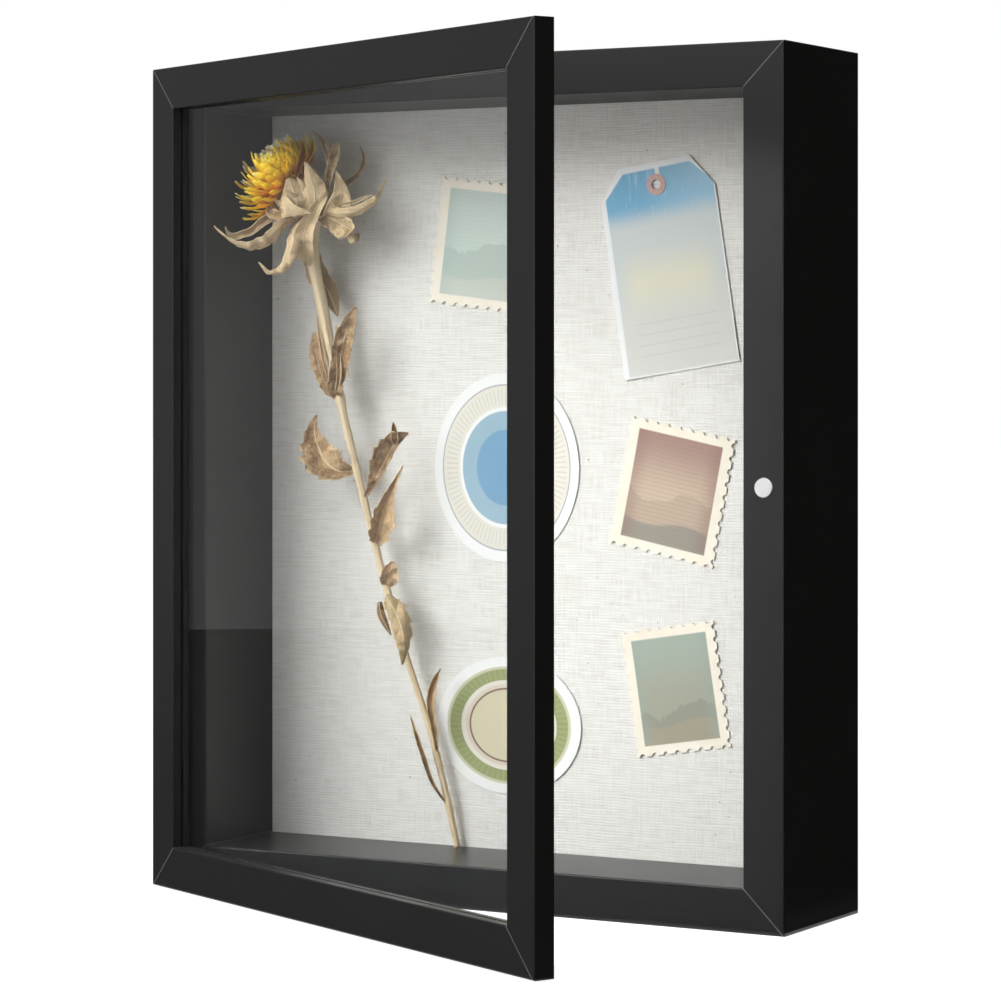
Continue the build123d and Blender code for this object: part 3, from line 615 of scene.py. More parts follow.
cream, white, grey = (0.72, 0.69, 0.61), (0.82, 0.82, 0.80), (0.36, 0.36, 0.38)
blue_label = label_print("blue_label_print", "label_blue", (56.0, 65.0), [
    (0.40, (0.17, 0.34, 0.50)), (0.60, (0.30, 0.44, 0.53)), (0.64, white), (0.87, cream), (0.885, grey),
    (1.2, white),
], 90)
olive_label = label_print("olive_label_print", "label_olive", (55.6, 47.0), [
    (0.52, (0.62, 0.57, 0.40)), (0.545, (0.22, 0.12, 0.10)), (0.60, (0.66, 0.58, 0.47)), (0.66, cream),
    (0.82, (0.30, 0.34, 0.14)), (0.86, (0.58, 0.57, 0.40)), (1.2, white),
], 60)
card("label_blue", "blue_label", blue_label, 0.0, 0.45 * MM)
card("label_olive", "olive_label", olive_label, 0.0, 0.45 * MM)

# %% [markdown]
# Everything on the flower is a thin blade or a tube that follows a bent line. The easiest way to model
# that is to make the shape straight first, where it is only a grid or a cylinder, and then to carry each
# of its points over to the line. This cell holds the line: a smooth curve through a few chosen points.


# %% A smooth line through chosen points
def along(points, share):
    """The value at a share from 0 to 1 of a smooth curve through points, which may be numbers too."""
    span = share * (len(points) - 1)
    index = min(int(span), len(points) - 2)
    t = span - index
    before = points[max(index - 1, 0)]
    first = points[index]
    second = points[index + 1]
    after = points[min(index + 2, len(points) - 1)]
    bend = 2 * before - 5 * first + 4 * second - after
    twist = 3 * (first - second) + after - before
    return (2 * first + (second - before) * t + bend * t * t + twist * t**3) / 2


def axes_at(points, share, across):
    """Middle, direction ahead, sideways and outwards at a share of the line."""
    reach = 0.02
    ahead = (along(points, min(share + reach, 1)) - along(points, max(share - reach, 0))).normalized()
    sideways = (across - ahead * across.dot(ahead)).normalized()
    return along(points, share), ahead, sideways, sideways.cross(ahead)


# %% [markdown]
# A dry leaf is a grid bent along its midrib. Its outline is a few half widths on each side, with saw
# teeth on the rim. Each half is folded up from the midrib and then rolls further towards its rim. Two
# noises crumple it: the larger one is taken without its sign, which gives creases instead of waves. Each
# blade keeps its own UV map, with its length along U, so that veins can follow it, and its own tone.


# %% Bending a grid into a blade
def add_blade(shape, spine, widths, across, fold, roll, crumple, tone, seed, grid,
              ripple=0.12, teeth=0, bite=0.25, notch=0.0):
    """Add a blade to the bmesh. widths holds half widths in mm for both sides, or a pair of such rows."""
    crease_scale, wave_scale = 170, 520
    tone_layer = shape.verts.layers.float["tone"]
    made = bmesh.ops.create_grid(shape, x_segments=grid[0], y_segments=grid[1], size=1, calc_uvs=True)
    pair = widths if isinstance(widths[0], tuple) else (widths, widths)
    shift = Vector((seed * 7.3, seed * 3.1, seed * 1.7))
    fold_angle, roll_angle = radians(fold), radians(roll)
    for vert in made["verts"]:
        share, side = (vert.co.x + 1) / 2, vert.co.y
        off = abs(side)
        half = max(along(pair[side > 0], share), 0.05) * MM
        saw = (share * teeth + 0.5 * noise.noise(Vector((share * 5, side, 0)) + shift)) % 1.0
        half *= 1 + bite * (saw - 0.5) * off**5 * (teeth > 0)
        middle, ahead, sideways, outwards = axes_at(spine, share, across)
        bent = fold_angle + roll_angle * off
        reach = half * (sin(bent) - sin(fold_angle)) / roll_angle
        lift = half * (cos(fold_angle) - cos(bent)) / roll_angle
        place = middle + sideways * (reach if side > 0 else -reach) + outwards * lift
        grow = min(1.0, share * 6)
        crease = 0.5 - abs(noise.noise(place * crease_scale + shift)) * 2
        wave = noise.noise(place * wave_scale + shift)
        place += outwards * (grow * MM * (crumple * crease + ripple * wave))
        place -= ahead * (notch * MM * share**8 * abs(sin(1.5 * pi * side)))
        vert.co = place
        vert[tone_layer] = tone


def new_blades():
    shape = bmesh.new()
    shape.loops.layers.uv.new("UVMap")
    shape.verts.layers.float.new("tone")
    return shape


# %% [markdown]
# Dry leaves go from cream along the veins to tan and brown between them, with an olive cast where some
# green is left. The midrib lies at the middle of V, and the side veins slant away from it, which is a
# sine of U less the distance from the midrib. A blade's tone moves its colour from brown through tan to
# olive.


# %% Dry leaf and bract
def dry_leaf(name, pale, tan, brown, olive, vein_count):
    leaf = Finish(name, roughness=0.72)
    leaf.translucent(0.10, (0.6, 0.4, 0.2), 1.2 * MM)
    place = leaf.place()
    u, v = leaf.uv()
    tone = leaf.tone()
    aside = leaf.math("ABSOLUTE", leaf.math("SUBTRACT", v, 0.5))
    slant = leaf.scaled(aside, -1.1, u)
    vein_wave = leaf.math("SINE", leaf.times(slant, vein_count * 2 * pi))
    side_vein = leaf.step(vein_wave, 0.86, 1.0)
    midrib = leaf.step(aside, 0.045, 0.015)
    vein = leaf.math("MAXIMUM", leaf.times(side_vein, 0.4), midrib)
    mottle = leaf.noise(place, 360.0, 6.0, 0.72)
    spots = leaf.step(leaf.noise(place, 850.0, 3.0, 0.6), 0.48, 0.70)
    mixed = leaf.math("ADD", mottle, leaf.scaled(tone, 0.55, -0.25))
    green = leaf.times(leaf.step(tone, 0.75, 1.0), leaf.step(mottle, 0.36, 0.60))
    rim = leaf.step(aside, 0.42, 0.50)
    colour = leaf.blend(leaf.step(mixed, 0.38, 0.62), brown, tan)
    layers = [(green, 0.8, olive), (spots, 0.35, brown), (rim, 0.7, pale), (vein, 0.7, pale)]
    for share, most, over in layers:
        colour = leaf.blend(leaf.times(share, most), colour, over)
    leaf.feed("Base Color", colour)
    fine = leaf.noise(place, 1100.0, 4.0, 0.65)
    leaf.relief(leaf.scaled(vein, 0.8, fine), 0.36 * MM)
    return leaf


leaf_finish = dry_leaf(
    "dry_leaf", (0.88, 0.70, 0.46), (0.62, 0.43, 0.245), (0.30, 0.175, 0.080), (0.44, 0.38, 0.20), 9)
bract_finish = dry_leaf(
    "dry_bract", (0.94, 0.78, 0.54), (0.74, 0.55, 0.325), (0.38, 0.26, 0.135), (0.60, 0.51, 0.31), 6)

# %% [markdown]
# The stem's line is the one that the construction follows. A leaf starts inside the stem, as a real one
# does at its node, so the line can also be asked for its middle at a height.

# %% The stem's line
stem_points = [shown(*point) for point in (
    (78.5, 3.0, 0.0), (74.0, 4.2, 21.0), (68.0, 5.4, 43.0), (60.0, 6.5, 65.5), (53.2, 7.6, 87.5),
    (47.4, 8.6, 108.0), (42.0, 9.7, 129.0), (36.8, 10.8, 150.0), (32.6, 11.8, 170.0), (28.9, 12.7, 189.0),
    (26.3, 13.5, 202.0), (26.2, 14.4, 212.5), (28.6, 15.9, 220.2),
)]
stem_line = [along(stem_points, step / 400) for step in range(401)]


def stem_at(height):
    """The stem's middle at a height in millimetres above the case's floor."""
    target = floor_top + height * MM
    return min(stem_line, key=lambda place: abs(place.z - target))


# %% [markdown]
# Eight leaves are left on the stem, and no two dried alike. Some folded up along the midrib, some rolled,
# and one has wrapped itself round the stem. Each is one or more blades: a root height on the stem, the
# midrib's places, the half widths to the left and right of it, and the direction that is across it.

# %% Leaves on the stem
leaves = {
    "leaf_upper_left": (154.5, [
        dict(spine=[(32.4, 13.2, 158.5), (29.8, 14.4, 164.5), (28.2, 15.0, 171.5), (27.6, 15.0, 178.5)],
             widths=((0.6, 2.2, 2.6, 2.6, 0.8), (0.5, 2.2, 2.8, 2.4, 0.6)), across=(0.87, 0.5, 0.2),
             fold=6, roll=22, teeth=8, tone=0.52, crumple=0.9),
        dict(spine=[(33.0, 13.4, 160.0), (30.6, 14.4, 171.5), (28.0, 14.4, 184.5)],
             widths=(0.5, 0.9, 0.8, 0.2), across=(0.87, 0.5, 0.2), fold=10, roll=60, tone=0.70,
             crumple=0.2),
    ]),
    "leaf_upper_right": (155.0, [
        dict(spine=[(35.8, 14.6, 158.5), (38.4, 15.6, 166.5), (40.2, 16.0, 175.0), (42.2, 15.6, 182.0),
                    (44.6, 15.0, 187.2)],
             widths=((1.0, 3.0, 4.0, 4.2, 2.8, 0.6), (1.0, 2.8, 3.6, 3.8, 2.6, 0.5)),
             across=(0.87, 0.5, -0.2), fold=14, roll=30, teeth=7, tone=0.36, crumple=1.2),
        dict(spine=[(36.4, 14.6, 158.5), (38.4, 16.0, 165.0), (37.4, 15.8, 174.0), (36.4, 15.0, 181.0)],
             widths=(0.8, 1.5, 1.1, 0.2), across=(0.87, 0.5, 0.1), fold=25, roll=60, tone=0.72,
             crumple=0.5),
    ]),
    "leaf_broad_left": (130.5, [
        dict(spine=[(36.6, 12.8, 129.8), (32.0, 14.4, 133.0), (28.8, 15.0, 139.5), (27.6, 15.2, 145.0),
                    (28.2, 14.6, 149.6)],
             widths=((0.6, 2.6, 6.2, 7.8, 5.4, 2.4, 0.3), (0.6, 4.6, 7.4, 5.8, 3.0, 1.3, 0.3)),
             across=(0.5, 0.3, 0.8), fold=10, roll=28, teeth=9, bite=0.30, tone=0.46, crumple=1.0),
    ]),
    "leaf_high_right": (120.0, [
        dict(spine=[(51.0, 12.4, 127.0), (56.4, 13.5, 134.8), (60.4, 13.6, 140.6), (64.4, 12.4, 143.6)],
             widths=((0.5, 2.2, 5.6, 6.4, 4.4, 0.4), (0.5, 1.3, 1.8, 1.6, 1.4, 0.3)),
             across=(0.8, 0.5, -0.6), fold=12, roll=40, teeth=7, tone=0.44, crumple=1.0),
        dict(spine=[(59.8, 13.6, 139.8), (60.0, 14.4, 143.0), (59.0, 13.6, 147.2)],
             widths=(1.0, 2.4, 1.9, 0.3), across=(0.87, 0.5, 0), fold=30, roll=60, tone=0.15,
             crumple=0.9),
    ]),
    "leaf_mid_right": (104.5, [
        dict(spine=[(52.4, 12.2, 110.5), (55.6, 13.8, 118.0), (59.6, 14.2, 126.0), (62.6, 13.0, 132.2)],
             widths=((0.6, 4.0, 4.6, 2.8, 0.9, 0.3), (0.6, 5.4, 7.2, 3.6, 1.2, 0.3)),
             across=(0.87, 0.5, -0.3), fold=30, roll=30, teeth=8, bite=0.32, tone=0.62, crumple=1.1),
    ]),
    "leaf_wrapped": (87.0, [
        dict(spine=[(56.0, 12.4, 86.0), (59.6, 13.6, 82.0), (62.6, 14.0, 76.0), (63.4, 13.4, 69.4),
                    (61.4, 11.4, 63.0)],
             widths=((0.8, 2.4, 3.4, 4.0, 2.8, 0.3), (0.8, 3.4, 4.4, 4.0, 2.2, 0.3)),
             across=(0.8, 0.5, 0.4), fold=8, roll=40, teeth=7, tone=0.95, crumple=1.2),
        dict(spine=[(54.4, 10.6, 90.5), (56.2, 11.4, 94.5), (57.4, 11.0, 98.8)],
             widths=(2.2, 3.8, 3.0, 0.8), across=(0.87, 0.5, 0), fold=5, roll=50, teeth=5, tone=0.55,
             crumple=1.3),
        dict(spine=[(52.6, 12.4, 84.8), (53.6, 12.8, 80.2), (57.0, 12.0, 73.4)],
             widths=(1.2, 2.2, 2.0, 0.3), across=(0.87, 0.5, 0.3), fold=30, roll=50, tone=0.30,
             crumple=0.9),
    ]),
    "leaf_low_right": (31.5, [
        dict(spine=[(72.0, 7.6, 40.0), (71.0, 8.8, 50.0), (72.4, 9.0, 57.0), (74.8, 8.5, 62.2)],
             widths=((0.5, 1.5, 2.2, 2.0, 0.3), (0.5, 2.0, 2.8, 2.2, 0.3)), across=(0.87, 0.5, 0.2),
             fold=30, roll=50, teeth=7, tone=0.80, crumple=0.9),
    ]),
    "leaf_low_left": (14.0, [
        dict(spine=[(71.0, 7.2, 22.5), (68.2, 8.4, 31.0), (65.6, 8.5, 38.0), (62.6, 8.0, 45.2)],
             widths=((0.5, 1.5, 1.9, 1.7, 0.3), (0.5, 1.4, 1.9, 1.5, 0.3)), across=(0.87, 0.5, 0.4),
             fold=25, roll=80, teeth=6, tone=0.48, crumple=0.8),
    ]),
}
leaf_gauge = 0.2 * MM
for number, (name, (root, blades)) in enumerate(leaves.items()):
    shape = new_blades()
    for index, blade in enumerate(blades):
        places = [stem_at(root)] * (index == 0) + [shown(*point) for point in blade.pop("spine")]
        blade.update(across=Vector(blade["across"]), seed=4 * number + index + 1, grid=(72, 20))
        add_blade(shape, places, **blade)
    made = piece(shape, name.replace("leaf_", "dry_leaf_"), leaf_finish, [name])
    thicken(made, leaf_gauge)

# %% [markdown]
# The stem is woody and ribbed, thick under the head and thin at the cut foot. It starts as a straight
# many-sided cylinder cut into rings. A cosine round it makes the ribs, and it swells a little at each
# node. Then every ring is carried to its place on the line.


# %% The stem
def woody(name):
    stem = Finish(name, roughness=0.62)
    place = stem.place()
    u, v = stem.uv()
    around = stem.vector(stem.times(u, 40.0), stem.times(v, 9.0), 0.0)
    streak = stem.noise(around, 1.0, 3.0)
    mottle = stem.noise(place, 190.0, 4.0)
    colour = stem.blend(stem.step(streak, 0.26, 0.60), (0.54, 0.39, 0.22), (0.84, 0.69, 0.46))
    colour = stem.blend(stem.times(stem.step(mottle, 0.52, 0.78), 0.35), colour, (0.46, 0.34, 0.19))
    stem.feed("Base Color", colour)
    stem.relief(streak, 0.16 * MM)
    return stem


stem_finish = woody("dry_stem")


def stem_piece(sides, rings, ribs):
    """The ribbed tube, its radii in millimetres from the foot to the head."""
    radii = [1.1, 1.1, 1.1, 1.15, 1.2, 1.25, 1.3, 1.4, 1.8, 2.15, 2.3, 2.5, 3.0]
    rib_depth, knot_swell, uneven_swell = 0.05, 0.18, 0.07
    knot_reach = 3.5 * MM
    shape = bmesh.new()
    shape.loops.layers.uv.new("UVMap")
    bmesh.ops.create_cone(
        shape, cap_ends=True, segments=sides, radius1=1, radius2=1, depth=1, calc_uvs=True)
    long_edges = [edge for edge in shape.edges if abs(edge.verts[0].co.z - edge.verts[1].co.z) > 0.5]
    bmesh.ops.subdivide_edges(shape, edges=long_edges, cuts=rings, use_grid_fill=True)
    node_heights = [floor_top + root * MM for root, _ in leaves.values()]
    across = Vector((1, 0, 0))
    for vert in shape.verts:
        share = vert.co.z + 0.5
        middle, _, sideways, outwards = axes_at(stem_points, share, across)
        bearing = Vector((vert.co.x, vert.co.y)).angle_signed(Vector((1, 0)), 0)
        rib = 1 + rib_depth * cos(bearing * ribs + 7 * share)
        knot = sum(max(0.0, 1 - abs(middle.z - height) / knot_reach) for height in node_heights)
        uneven = uneven_swell * noise.noise(middle * 130)
        radius = along(radii, share) * MM * (rib + knot_swell * knot + uneven)
        vert.co = middle + (sideways * vert.co.x + outwards * vert.co.y) * radius
    bmesh.ops.recalc_face_normals(shape, faces=shape.faces)
    piece(shape, "dry_stem", stem_finish, ["flower_stem"])


stem_piece(sides=24, rings=160, ribs=7)

# %% [markdown]
# The head looks forwards, up and to the left. All its parts are placed in its own directions: out from
# its axis, and up along it from the foot of the cup. One matrix turns those into places in the case.

# %% The head's own directions
head_foot = stem_points[-1]
head_aim = shown(22.0, 23.0, 230.3)
head_axis = (head_aim - head_foot).normalized()
head_side = (Vector((1, 0, 0)) - head_axis * head_axis.x).normalized()
head_turn = Matrix((head_side, head_axis.cross(head_side), head_axis)).transposed().to_4x4()
head_place = Matrix.Translation(head_foot) @ head_turn


def on_head(out, turn, up):
    """A place on the head: millimetres out from its axis, degrees round it and millimetres up it."""
    angle = radians(turn)
    return head_place @ Vector((out * cos(angle) * MM, out * sin(angle) * MM, up * MM))


def round_head(turn):
    """The direction round the head's axis at a bearing."""
    angle = radians(turn)
    return head_turn.to_3x3() @ Vector((-sin(angle), cos(angle), 0))


# %% [markdown]
# The petals are stiff and dry, packed in rows like the tiles of a roof, and their tips lie on a dome.
# They are stained orange at the root and pale at the tip. The head dried lopsided: on the side of the
# wall they stand open, and towards the room they stayed closed, each row a step shorter than the row
# inside it, so that their orange backs show. One loop makes them all: each row leans further from the
# axis than the next, with a little chance in every petal.


# %% Petals
def petal_shine():
    petal = Finish("yellow_petal", roughness=0.5)
    petal.feed("Specular IOR Level", 0.2)
    petal.translucent(0.12, (0.8, 0.5, 0.1), 1.0 * MM)
    u, v = petal.uv()
    tone = petal.tone()
    lengthways = petal.vector(petal.times(u, 2.0), petal.times(v, 14.0), petal.times(tone, 90.0))
    fibre = petal.noise(lengthways, 1.0, 3.0, 0.6)
    reach = petal.math("ADD", u, petal.scaled(tone, -0.60, 0.20))
    reach = petal.math("ADD", reach, petal.scaled(fibre, 0.5, -0.25))
    colour = (0.86, 0.44, 0.16)
    for low, high, further in (
        (0.02, 0.34, (0.98, 0.46, 0.04)), (0.30, 0.62, (0.99, 0.56, 0.012)),
        (0.60, 0.86, (0.99, 0.70, 0.03)), (0.86, 1.02, (0.98, 0.93, 0.66)),
    ):
        colour = petal.blend(petal.step(reach, low, high), colour, further)
    petal.feed("Base Color", colour)
    petal.relief(fibre, 0.10 * MM)
    return petal


def facing(turn, side):
    """1 for a petal whose bearing is the side's, falling to 0 a quarter turn away and beyond."""
    return max(0.0, cos(radians(turn - side)))


room_side, low_side, wall_side = 320, 223, 160
petal_base = 13.5
# Towards the room: shares of lean and reach that are lost, and how much less reach each next row loses
shut_lean, shut_reach, shut_less = 0.42, 0.44, 0.07
# On the low side: degrees of sag, and shares of reach gained and of width lost
sag, sag_reach, sag_slim = 12, 0.08, 0.35
# Added to the tone, whose higher values are more orange; the wall side's share is below zero and paints
# those petals paler as a painted highlight
room_stain, room_stain_less, low_stain, wall_painted_highlight = 0.40, 0.05, 0.24, -0.20
# Each row: how many, root out and up, lean from the axis in degrees, reach of the tips, half width, tone
petal_rows = [
    (34, 6.2, 11.8, 90, 18.8, 2.3, 0.44),
    (32, 6.0, 12.6, 79, 18.8, 2.4, 0.34),
    (30, 5.6, 13.4, 67, 18.4, 2.4, 0.27),
    (27, 5.0, 14.0, 55, 17.8, 2.3, 0.24),
    (23, 4.2, 14.4, 42, 17.2, 2.1, 0.22),
    (18, 3.2, 14.8, 28, 16.6, 1.9, 0.24),
    (11, 2.0, 15.0, 13, 16.0, 1.6, 0.28),
]
chance = random.Random(11)
wall_clear = wall_left + 0.4 * MM
petals = new_blades()
for row, (count, root_out, root_up, lean, reach, width, tone) in enumerate(petal_rows):
    for index in range(count):
        turn = 360 * (index + 0.5 * (row % 2)) / count + chance.uniform(-5, 5)
        in_front, low = facing(turn, room_side), facing(turn, low_side)
        open_share = lean / 90
        lean_now = lean * (1 - shut_lean * in_front) + sag * open_share * cos(radians(turn - low_side))
        lean_now += chance.uniform(-5, 5)
        lost = (shut_reach - shut_less * row) * in_front
        reach_now = reach * (1 - lost + sag_reach * low**3) * chance.uniform(0.90, 1.06)
        spine = [on_head(root_out, turn, root_up)]
        for share, bow in ((0.45, 10), (0.80, 6), (1.0, -4)):
            angle = radians(lean_now + bow)
            out, up = share * reach_now * sin(angle), petal_base + share * reach_now * cos(angle)
            place = on_head(out, turn + share * chance.uniform(-6, 6), up)
            place.x = max(place.x, wall_clear)
            spine.append(place)
        slim = width * chance.uniform(0.8, 1.1) * (1 - sag_slim * low**3)
        stain = tone + (room_stain - room_stain_less * row) * in_front + low_stain * low**2
        # Paler on the wall side, towards the lamp: a painted highlight.
        stain += wall_painted_highlight * facing(turn, wall_side)
        widths = tuple(share * slim for share in (0.45, 0.90, 1.0, 0.95, 0.50))
        add_blade(
            petals, spine, widths, -round_head(turn),
            fold=chance.uniform(0, 10), roll=chance.uniform(10, 35), crumple=0.3, ripple=0.10,
            notch=chance.uniform(0.2, 1.0), tone=stain + chance.uniform(-0.12, 0.12),
            seed=row * 40 + index, grid=(10, 6))
petal_piece = piece(petals, "strawflower_petals", petal_shine(), ["flower_petals"])
thicken(petal_piece, 0.12 * MM)

# %% [markdown]
# Inside the petals lies a low dome of tiny florets. A sunflower spiral spaces them evenly: each next
# floret turns by the golden angle, and its distance grows with the square root of its number.

# %% The disc of florets
disc_radius, disc_up = 6.4, 14.6
florets_out, florets_up, florets_rise = 5.8, 14.8, 3.4
disc = bmesh.new()
bmesh.ops.create_uvsphere(disc, u_segments=28, v_segments=14, radius=disc_radius * MM)
bmesh.ops.scale(disc, vec=(1, 1, 0.55), verts=disc.verts)
bmesh.ops.transform(disc, matrix=head_place @ Matrix.Translation((0, 0, disc_up * MM)), verts=disc.verts)
golden_angle = 137.508
floret_count = 190
for number in range(floret_count):
    out = florets_out * ((number + 0.5) / floret_count) ** 0.5
    up = florets_up + florets_rise * (1 - (out / disc_radius) ** 2) ** 0.5
    tip = on_head(out, number * golden_angle, up)
    lean = Matrix.Rotation(radians(out * 5), 4, "Y")
    turned = Matrix.Rotation(radians(number * golden_angle), 4, "Z") @ lean
    bmesh.ops.create_cone(
        disc, cap_ends=True, segments=6, radius1=0.38 * MM, radius2=0.16 * MM,
        depth=chance.uniform(1.2, 2.6) * MM, matrix=Matrix.Translation(tip) @ head_turn @ turned)


def floret_dust():
    dust = Finish("floret_brown", roughness=0.85)
    speck = dust.noise(dust.place(), 1100.0, 3.0)
    colour = dust.blend(dust.step(speck, 0.38, 0.62), (0.27, 0.10, 0.02), (0.72, 0.38, 0.06))
    dust.feed("Base Color", colour)
    dust.relief(speck, 0.1 * MM)
    return dust


piece(disc, "floret_disc", floret_dust(), [])

# %% [markdown]
# Under the petals the cup is shingled with papery bracts. Two rings of small ones hug it. The rest were
# green leaves once: some dried into broad triangles that stand round the petals, others into long curls,
# and these give the head its shape.

# %% Rings of bracts
calyx = new_blades()
ring_rows = [
    (12, 0.0, [(2.6, 4.0), (7.2, 6.4), (9.4, 10.0), (10.6, 15.0)], 3.0),
    (10, 18.0, [(2.4, 1.4), (6.0, 3.6), (8.6, 6.0), (9.6, 10.0)], 2.8),
]
for row, (count, first_turn, midrib, width) in enumerate(ring_rows):
    for index in range(count):
        turn = first_turn + 360 * index / count + chance.uniform(-7, 7)
        spine = [
            on_head(out + chance.uniform(-0.5, 0.7), turn, up + chance.uniform(-0.6, 0.6))
            for out, up in midrib
        ]
        widths = tuple(share * width for share in (0.5, 1.0, 1.0, 0.6, 0.06))
        add_blade(
            calyx, spine, widths, -round_head(turn),
            fold=chance.uniform(5, 20), roll=chance.uniform(15, 45), crumple=0.7, teeth=4, bite=0.15,
            tone=chance.uniform(0.35, 0.75), seed=200 + row * 20 + index, grid=(16, 8))

# %% [markdown]
# Each large bract starts inside the cup. Its midrib, half widths and direction across are given one by
# one, and what differs from the usual fold and roll is given with it.

# %% Large bracts
cup_heart = (27.6, 17.6, 221.8)
faces_room = (0.87, 0.5, 0.0)
large_bracts = [
    # long trough to the left: its near side, and its brown far side behind
    ([(23.8, 28.5, 217.0), (20.4, 33.0, 211.6), (15.8, 36.5, 208.9), (11.0, 38.6, 209.4),
      (6.6, 40.0, 212.2), (2.6, 40.5, 215.6)],
     ((1.4, 3.0, 3.9, 3.0, 1.5, 0.6, 0.2), (1.0, 1.8, 1.8, 1.4, 1.0, 0.6, 0.2)), (0.1, -0.5, 1),
     dict(fold=-12, roll=-25, teeth=9, tone=0.62)),
    ([(19.5, 29.0, 218.6), (14.5, 34.0, 213.6), (9.8, 36.6, 211.6), (6.6, 37.6, 212.6),
      (5.4, 38.0, 215.2)],
     (1.0, 2.2, 2.2, 1.6, 0.8, 0.2), (0.1, 0.4, 1), dict(fold=20, roll=50, tone=0.15)),
    # curl that hangs down and turns left
    ([(27.0, 25.0, 216.0), (27.2, 28.4, 209.6), (26.6, 30.4, 204.2), (23.6, 31.4, 200.0),
      (19.4, 32.0, 199.4), (15.4, 32.0, 202.9)],
     (1.2, 2.6, 3.0, 2.6, 1.6, 0.9, 0.2), (1, 0.3, -0.3), dict(fold=15, roll=40, teeth=6, tone=0.66)),
    # broad one folded down in front of the neck
    ([(36.0, 23.0, 225.4), (33.4, 25.2, 219.6), (30.4, 25.4, 214.0), (28.8, 24.0, 209.0),
      (28.6, 21.0, 204.6), (27.6, 18.0, 201.6)],
     ((0.8, 1.4, 2.4, 3.6, 4.2, 3.0, 0.2), (0.8, 1.6, 2.4, 3.2, 3.6, 2.4, 0.2)), faces_room,
     dict(fold=-8, roll=-22, teeth=5, bite=0.12, tone=0.72)),
    # long trough to the right, its thin upper strip, and the broad thin one below it
    ([(35.0, 21.0, 221.0), (42.0, 21.8, 219.8), (48.6, 21.2, 220.6), (53.6, 20.2, 223.0),
      (56.8, 18.8, 226.2), (58.7, 17.6, 231.3)],
     ((1.2, 1.6, 1.9, 2.0, 1.6, 0.9, 0.2), (1.2, 2.2, 2.6, 2.4, 1.6, 0.9, 0.2)), (0, 0.4, -1),
     dict(fold=-10, roll=-35, teeth=9, tone=0.66)),
    ([(38.0, 19.0, 222.4), (46.0, 19.8, 223.4), (51.0, 19.4, 225.2), (54.0, 19.0, 226.2)],
     (0.6, 0.9, 0.9, 0.6, 0.2), (0, 0.4, -1), dict(fold=10, roll=50, tone=0.85)),
    ([(34.6, 19.4, 219.4), (40.4, 19.2, 216.6), (45.0, 18.6, 213.8), (46.0, 18.2, 209.6)],
     ((1.6, 2.6, 3.8, 3.6, 1.4), (1.6, 3.2, 4.6, 4.2, 1.2)), (0.3, 0.2, -1),
     dict(fold=6, roll=25, teeth=6, tone=0.5, crumple=1.2)),
    # brown one that hangs behind the neck
    ([(24.6, 13.0, 210.0), (24.6, 9.6, 200.0), (29.4, 9.0, 193.0), (33.4, 8.8, 184.0)],
     (0.8, 1.8, 3.6, 4.2, 3.4, 0.3), (0.87, 0.5, 0.5), dict(fold=8, roll=30, teeth=7, tone=0.12)),
    # broad triangles that stand round the right of the petals
    ([(37.4, 19.6, 219.6), (42.0, 21.0, 223.6), (42.6, 21.6, 228.4), (40.4, 21.4, 234.6)],
     ((1.6, 3.8, 4.2, 2.6, 0.15), (1.6, 4.2, 4.0, 2.2, 0.15)), faces_room,
     dict(fold=4, roll=18, tone=0.72)),
    ([(33.0, 23.6, 221.6), (34.6, 26.0, 227.0), (33.8, 27.8, 232.4), (32.2, 28.6, 237.6)],
     ((1.8, 4.6, 4.5, 2.0, 0.15), (1.8, 4.4, 4.5, 2.8, 0.15)), faces_room,
     dict(fold=-4, roll=-14, tone=0.75)),
    ([(27.0, 26.0, 218.6), (28.8, 28.2, 223.4), (28.0, 29.6, 228.2), (26.6, 30.4, 231.8)],
     ((2.2, 4.8, 5.4, 4.0, 0.8), (2.2, 4.2, 4.8, 3.6, 0.8)), faces_room,
     dict(fold=-3, roll=-16, tone=0.75)),
    ([(21.8, 27.0, 222.0), (24.4, 30.6, 221.6), (29.0, 30.4, 220.4), (34.4, 27.8, 219.8)],
     ((1.6, 4.4, 4.8, 2.4, 0.15), (1.6, 4.4, 3.8, 1.8, 0.15)), (0, 0.2, -1),
     dict(fold=-6, roll=-16, tone=0.8)),
    ([(22.4, 28.0, 220.0), (19.6, 30.4, 220.0), (18.2, 30.6, 223.8)],
     (1.4, 2.6, 2.4, 0.3), (0.6, 0.3, 0.6), dict(fold=15, roll=60, tone=0.62)),
    # blunt spatula, thin hooked strip and curled strip at the back
    ([(34.6, 19.6, 227.0), (36.2, 18.6, 234.0), (37.2, 17.2, 240.0), (37.3, 16.0, 244.8)],
     (0.8, 1.2, 1.9, 2.5, 1.2), faces_room, dict(fold=12, roll=60, tone=0.45)),
    ([(32.0, 16.6, 228.0), (34.4, 15.8, 236.4), (32.2, 15.0, 242.8), (29.2, 14.2, 246.6),
      (26.0, 14.0, 248.8)],
     (0.8, 1.8, 1.8, 1.4, 0.9, 0.2), faces_room, dict(fold=20, roll=50, tone=0.50)),
    ([(32.0, 12.6, 226.5), (37.0, 9.4, 231.6), (41.2, 8.0, 235.4), (42.6, 7.0, 240.4),
      (41.4, 7.0, 245.0)],
     (0.9, 2.2, 2.0, 1.5, 1.0, 0.2), (0.5, 0.9, -0.3), dict(fold=20, roll=60, tone=0.35)),
]
for number, (points, widths, across, looks) in enumerate(large_bracts):
    spine = [shown(*cup_heart)] + [shown(*point) for point in points]
    settings = dict(fold=12, roll=35, crumple=1.1, bite=0.22, tone=0.55, seed=300 + number, grid=(48, 16))
    settings.update(looks)
    add_blade(calyx, spine, widths, Vector(across), **settings)
calyx_piece = piece(calyx, "papery_bracts", bract_finish, ["flower_calyx"])
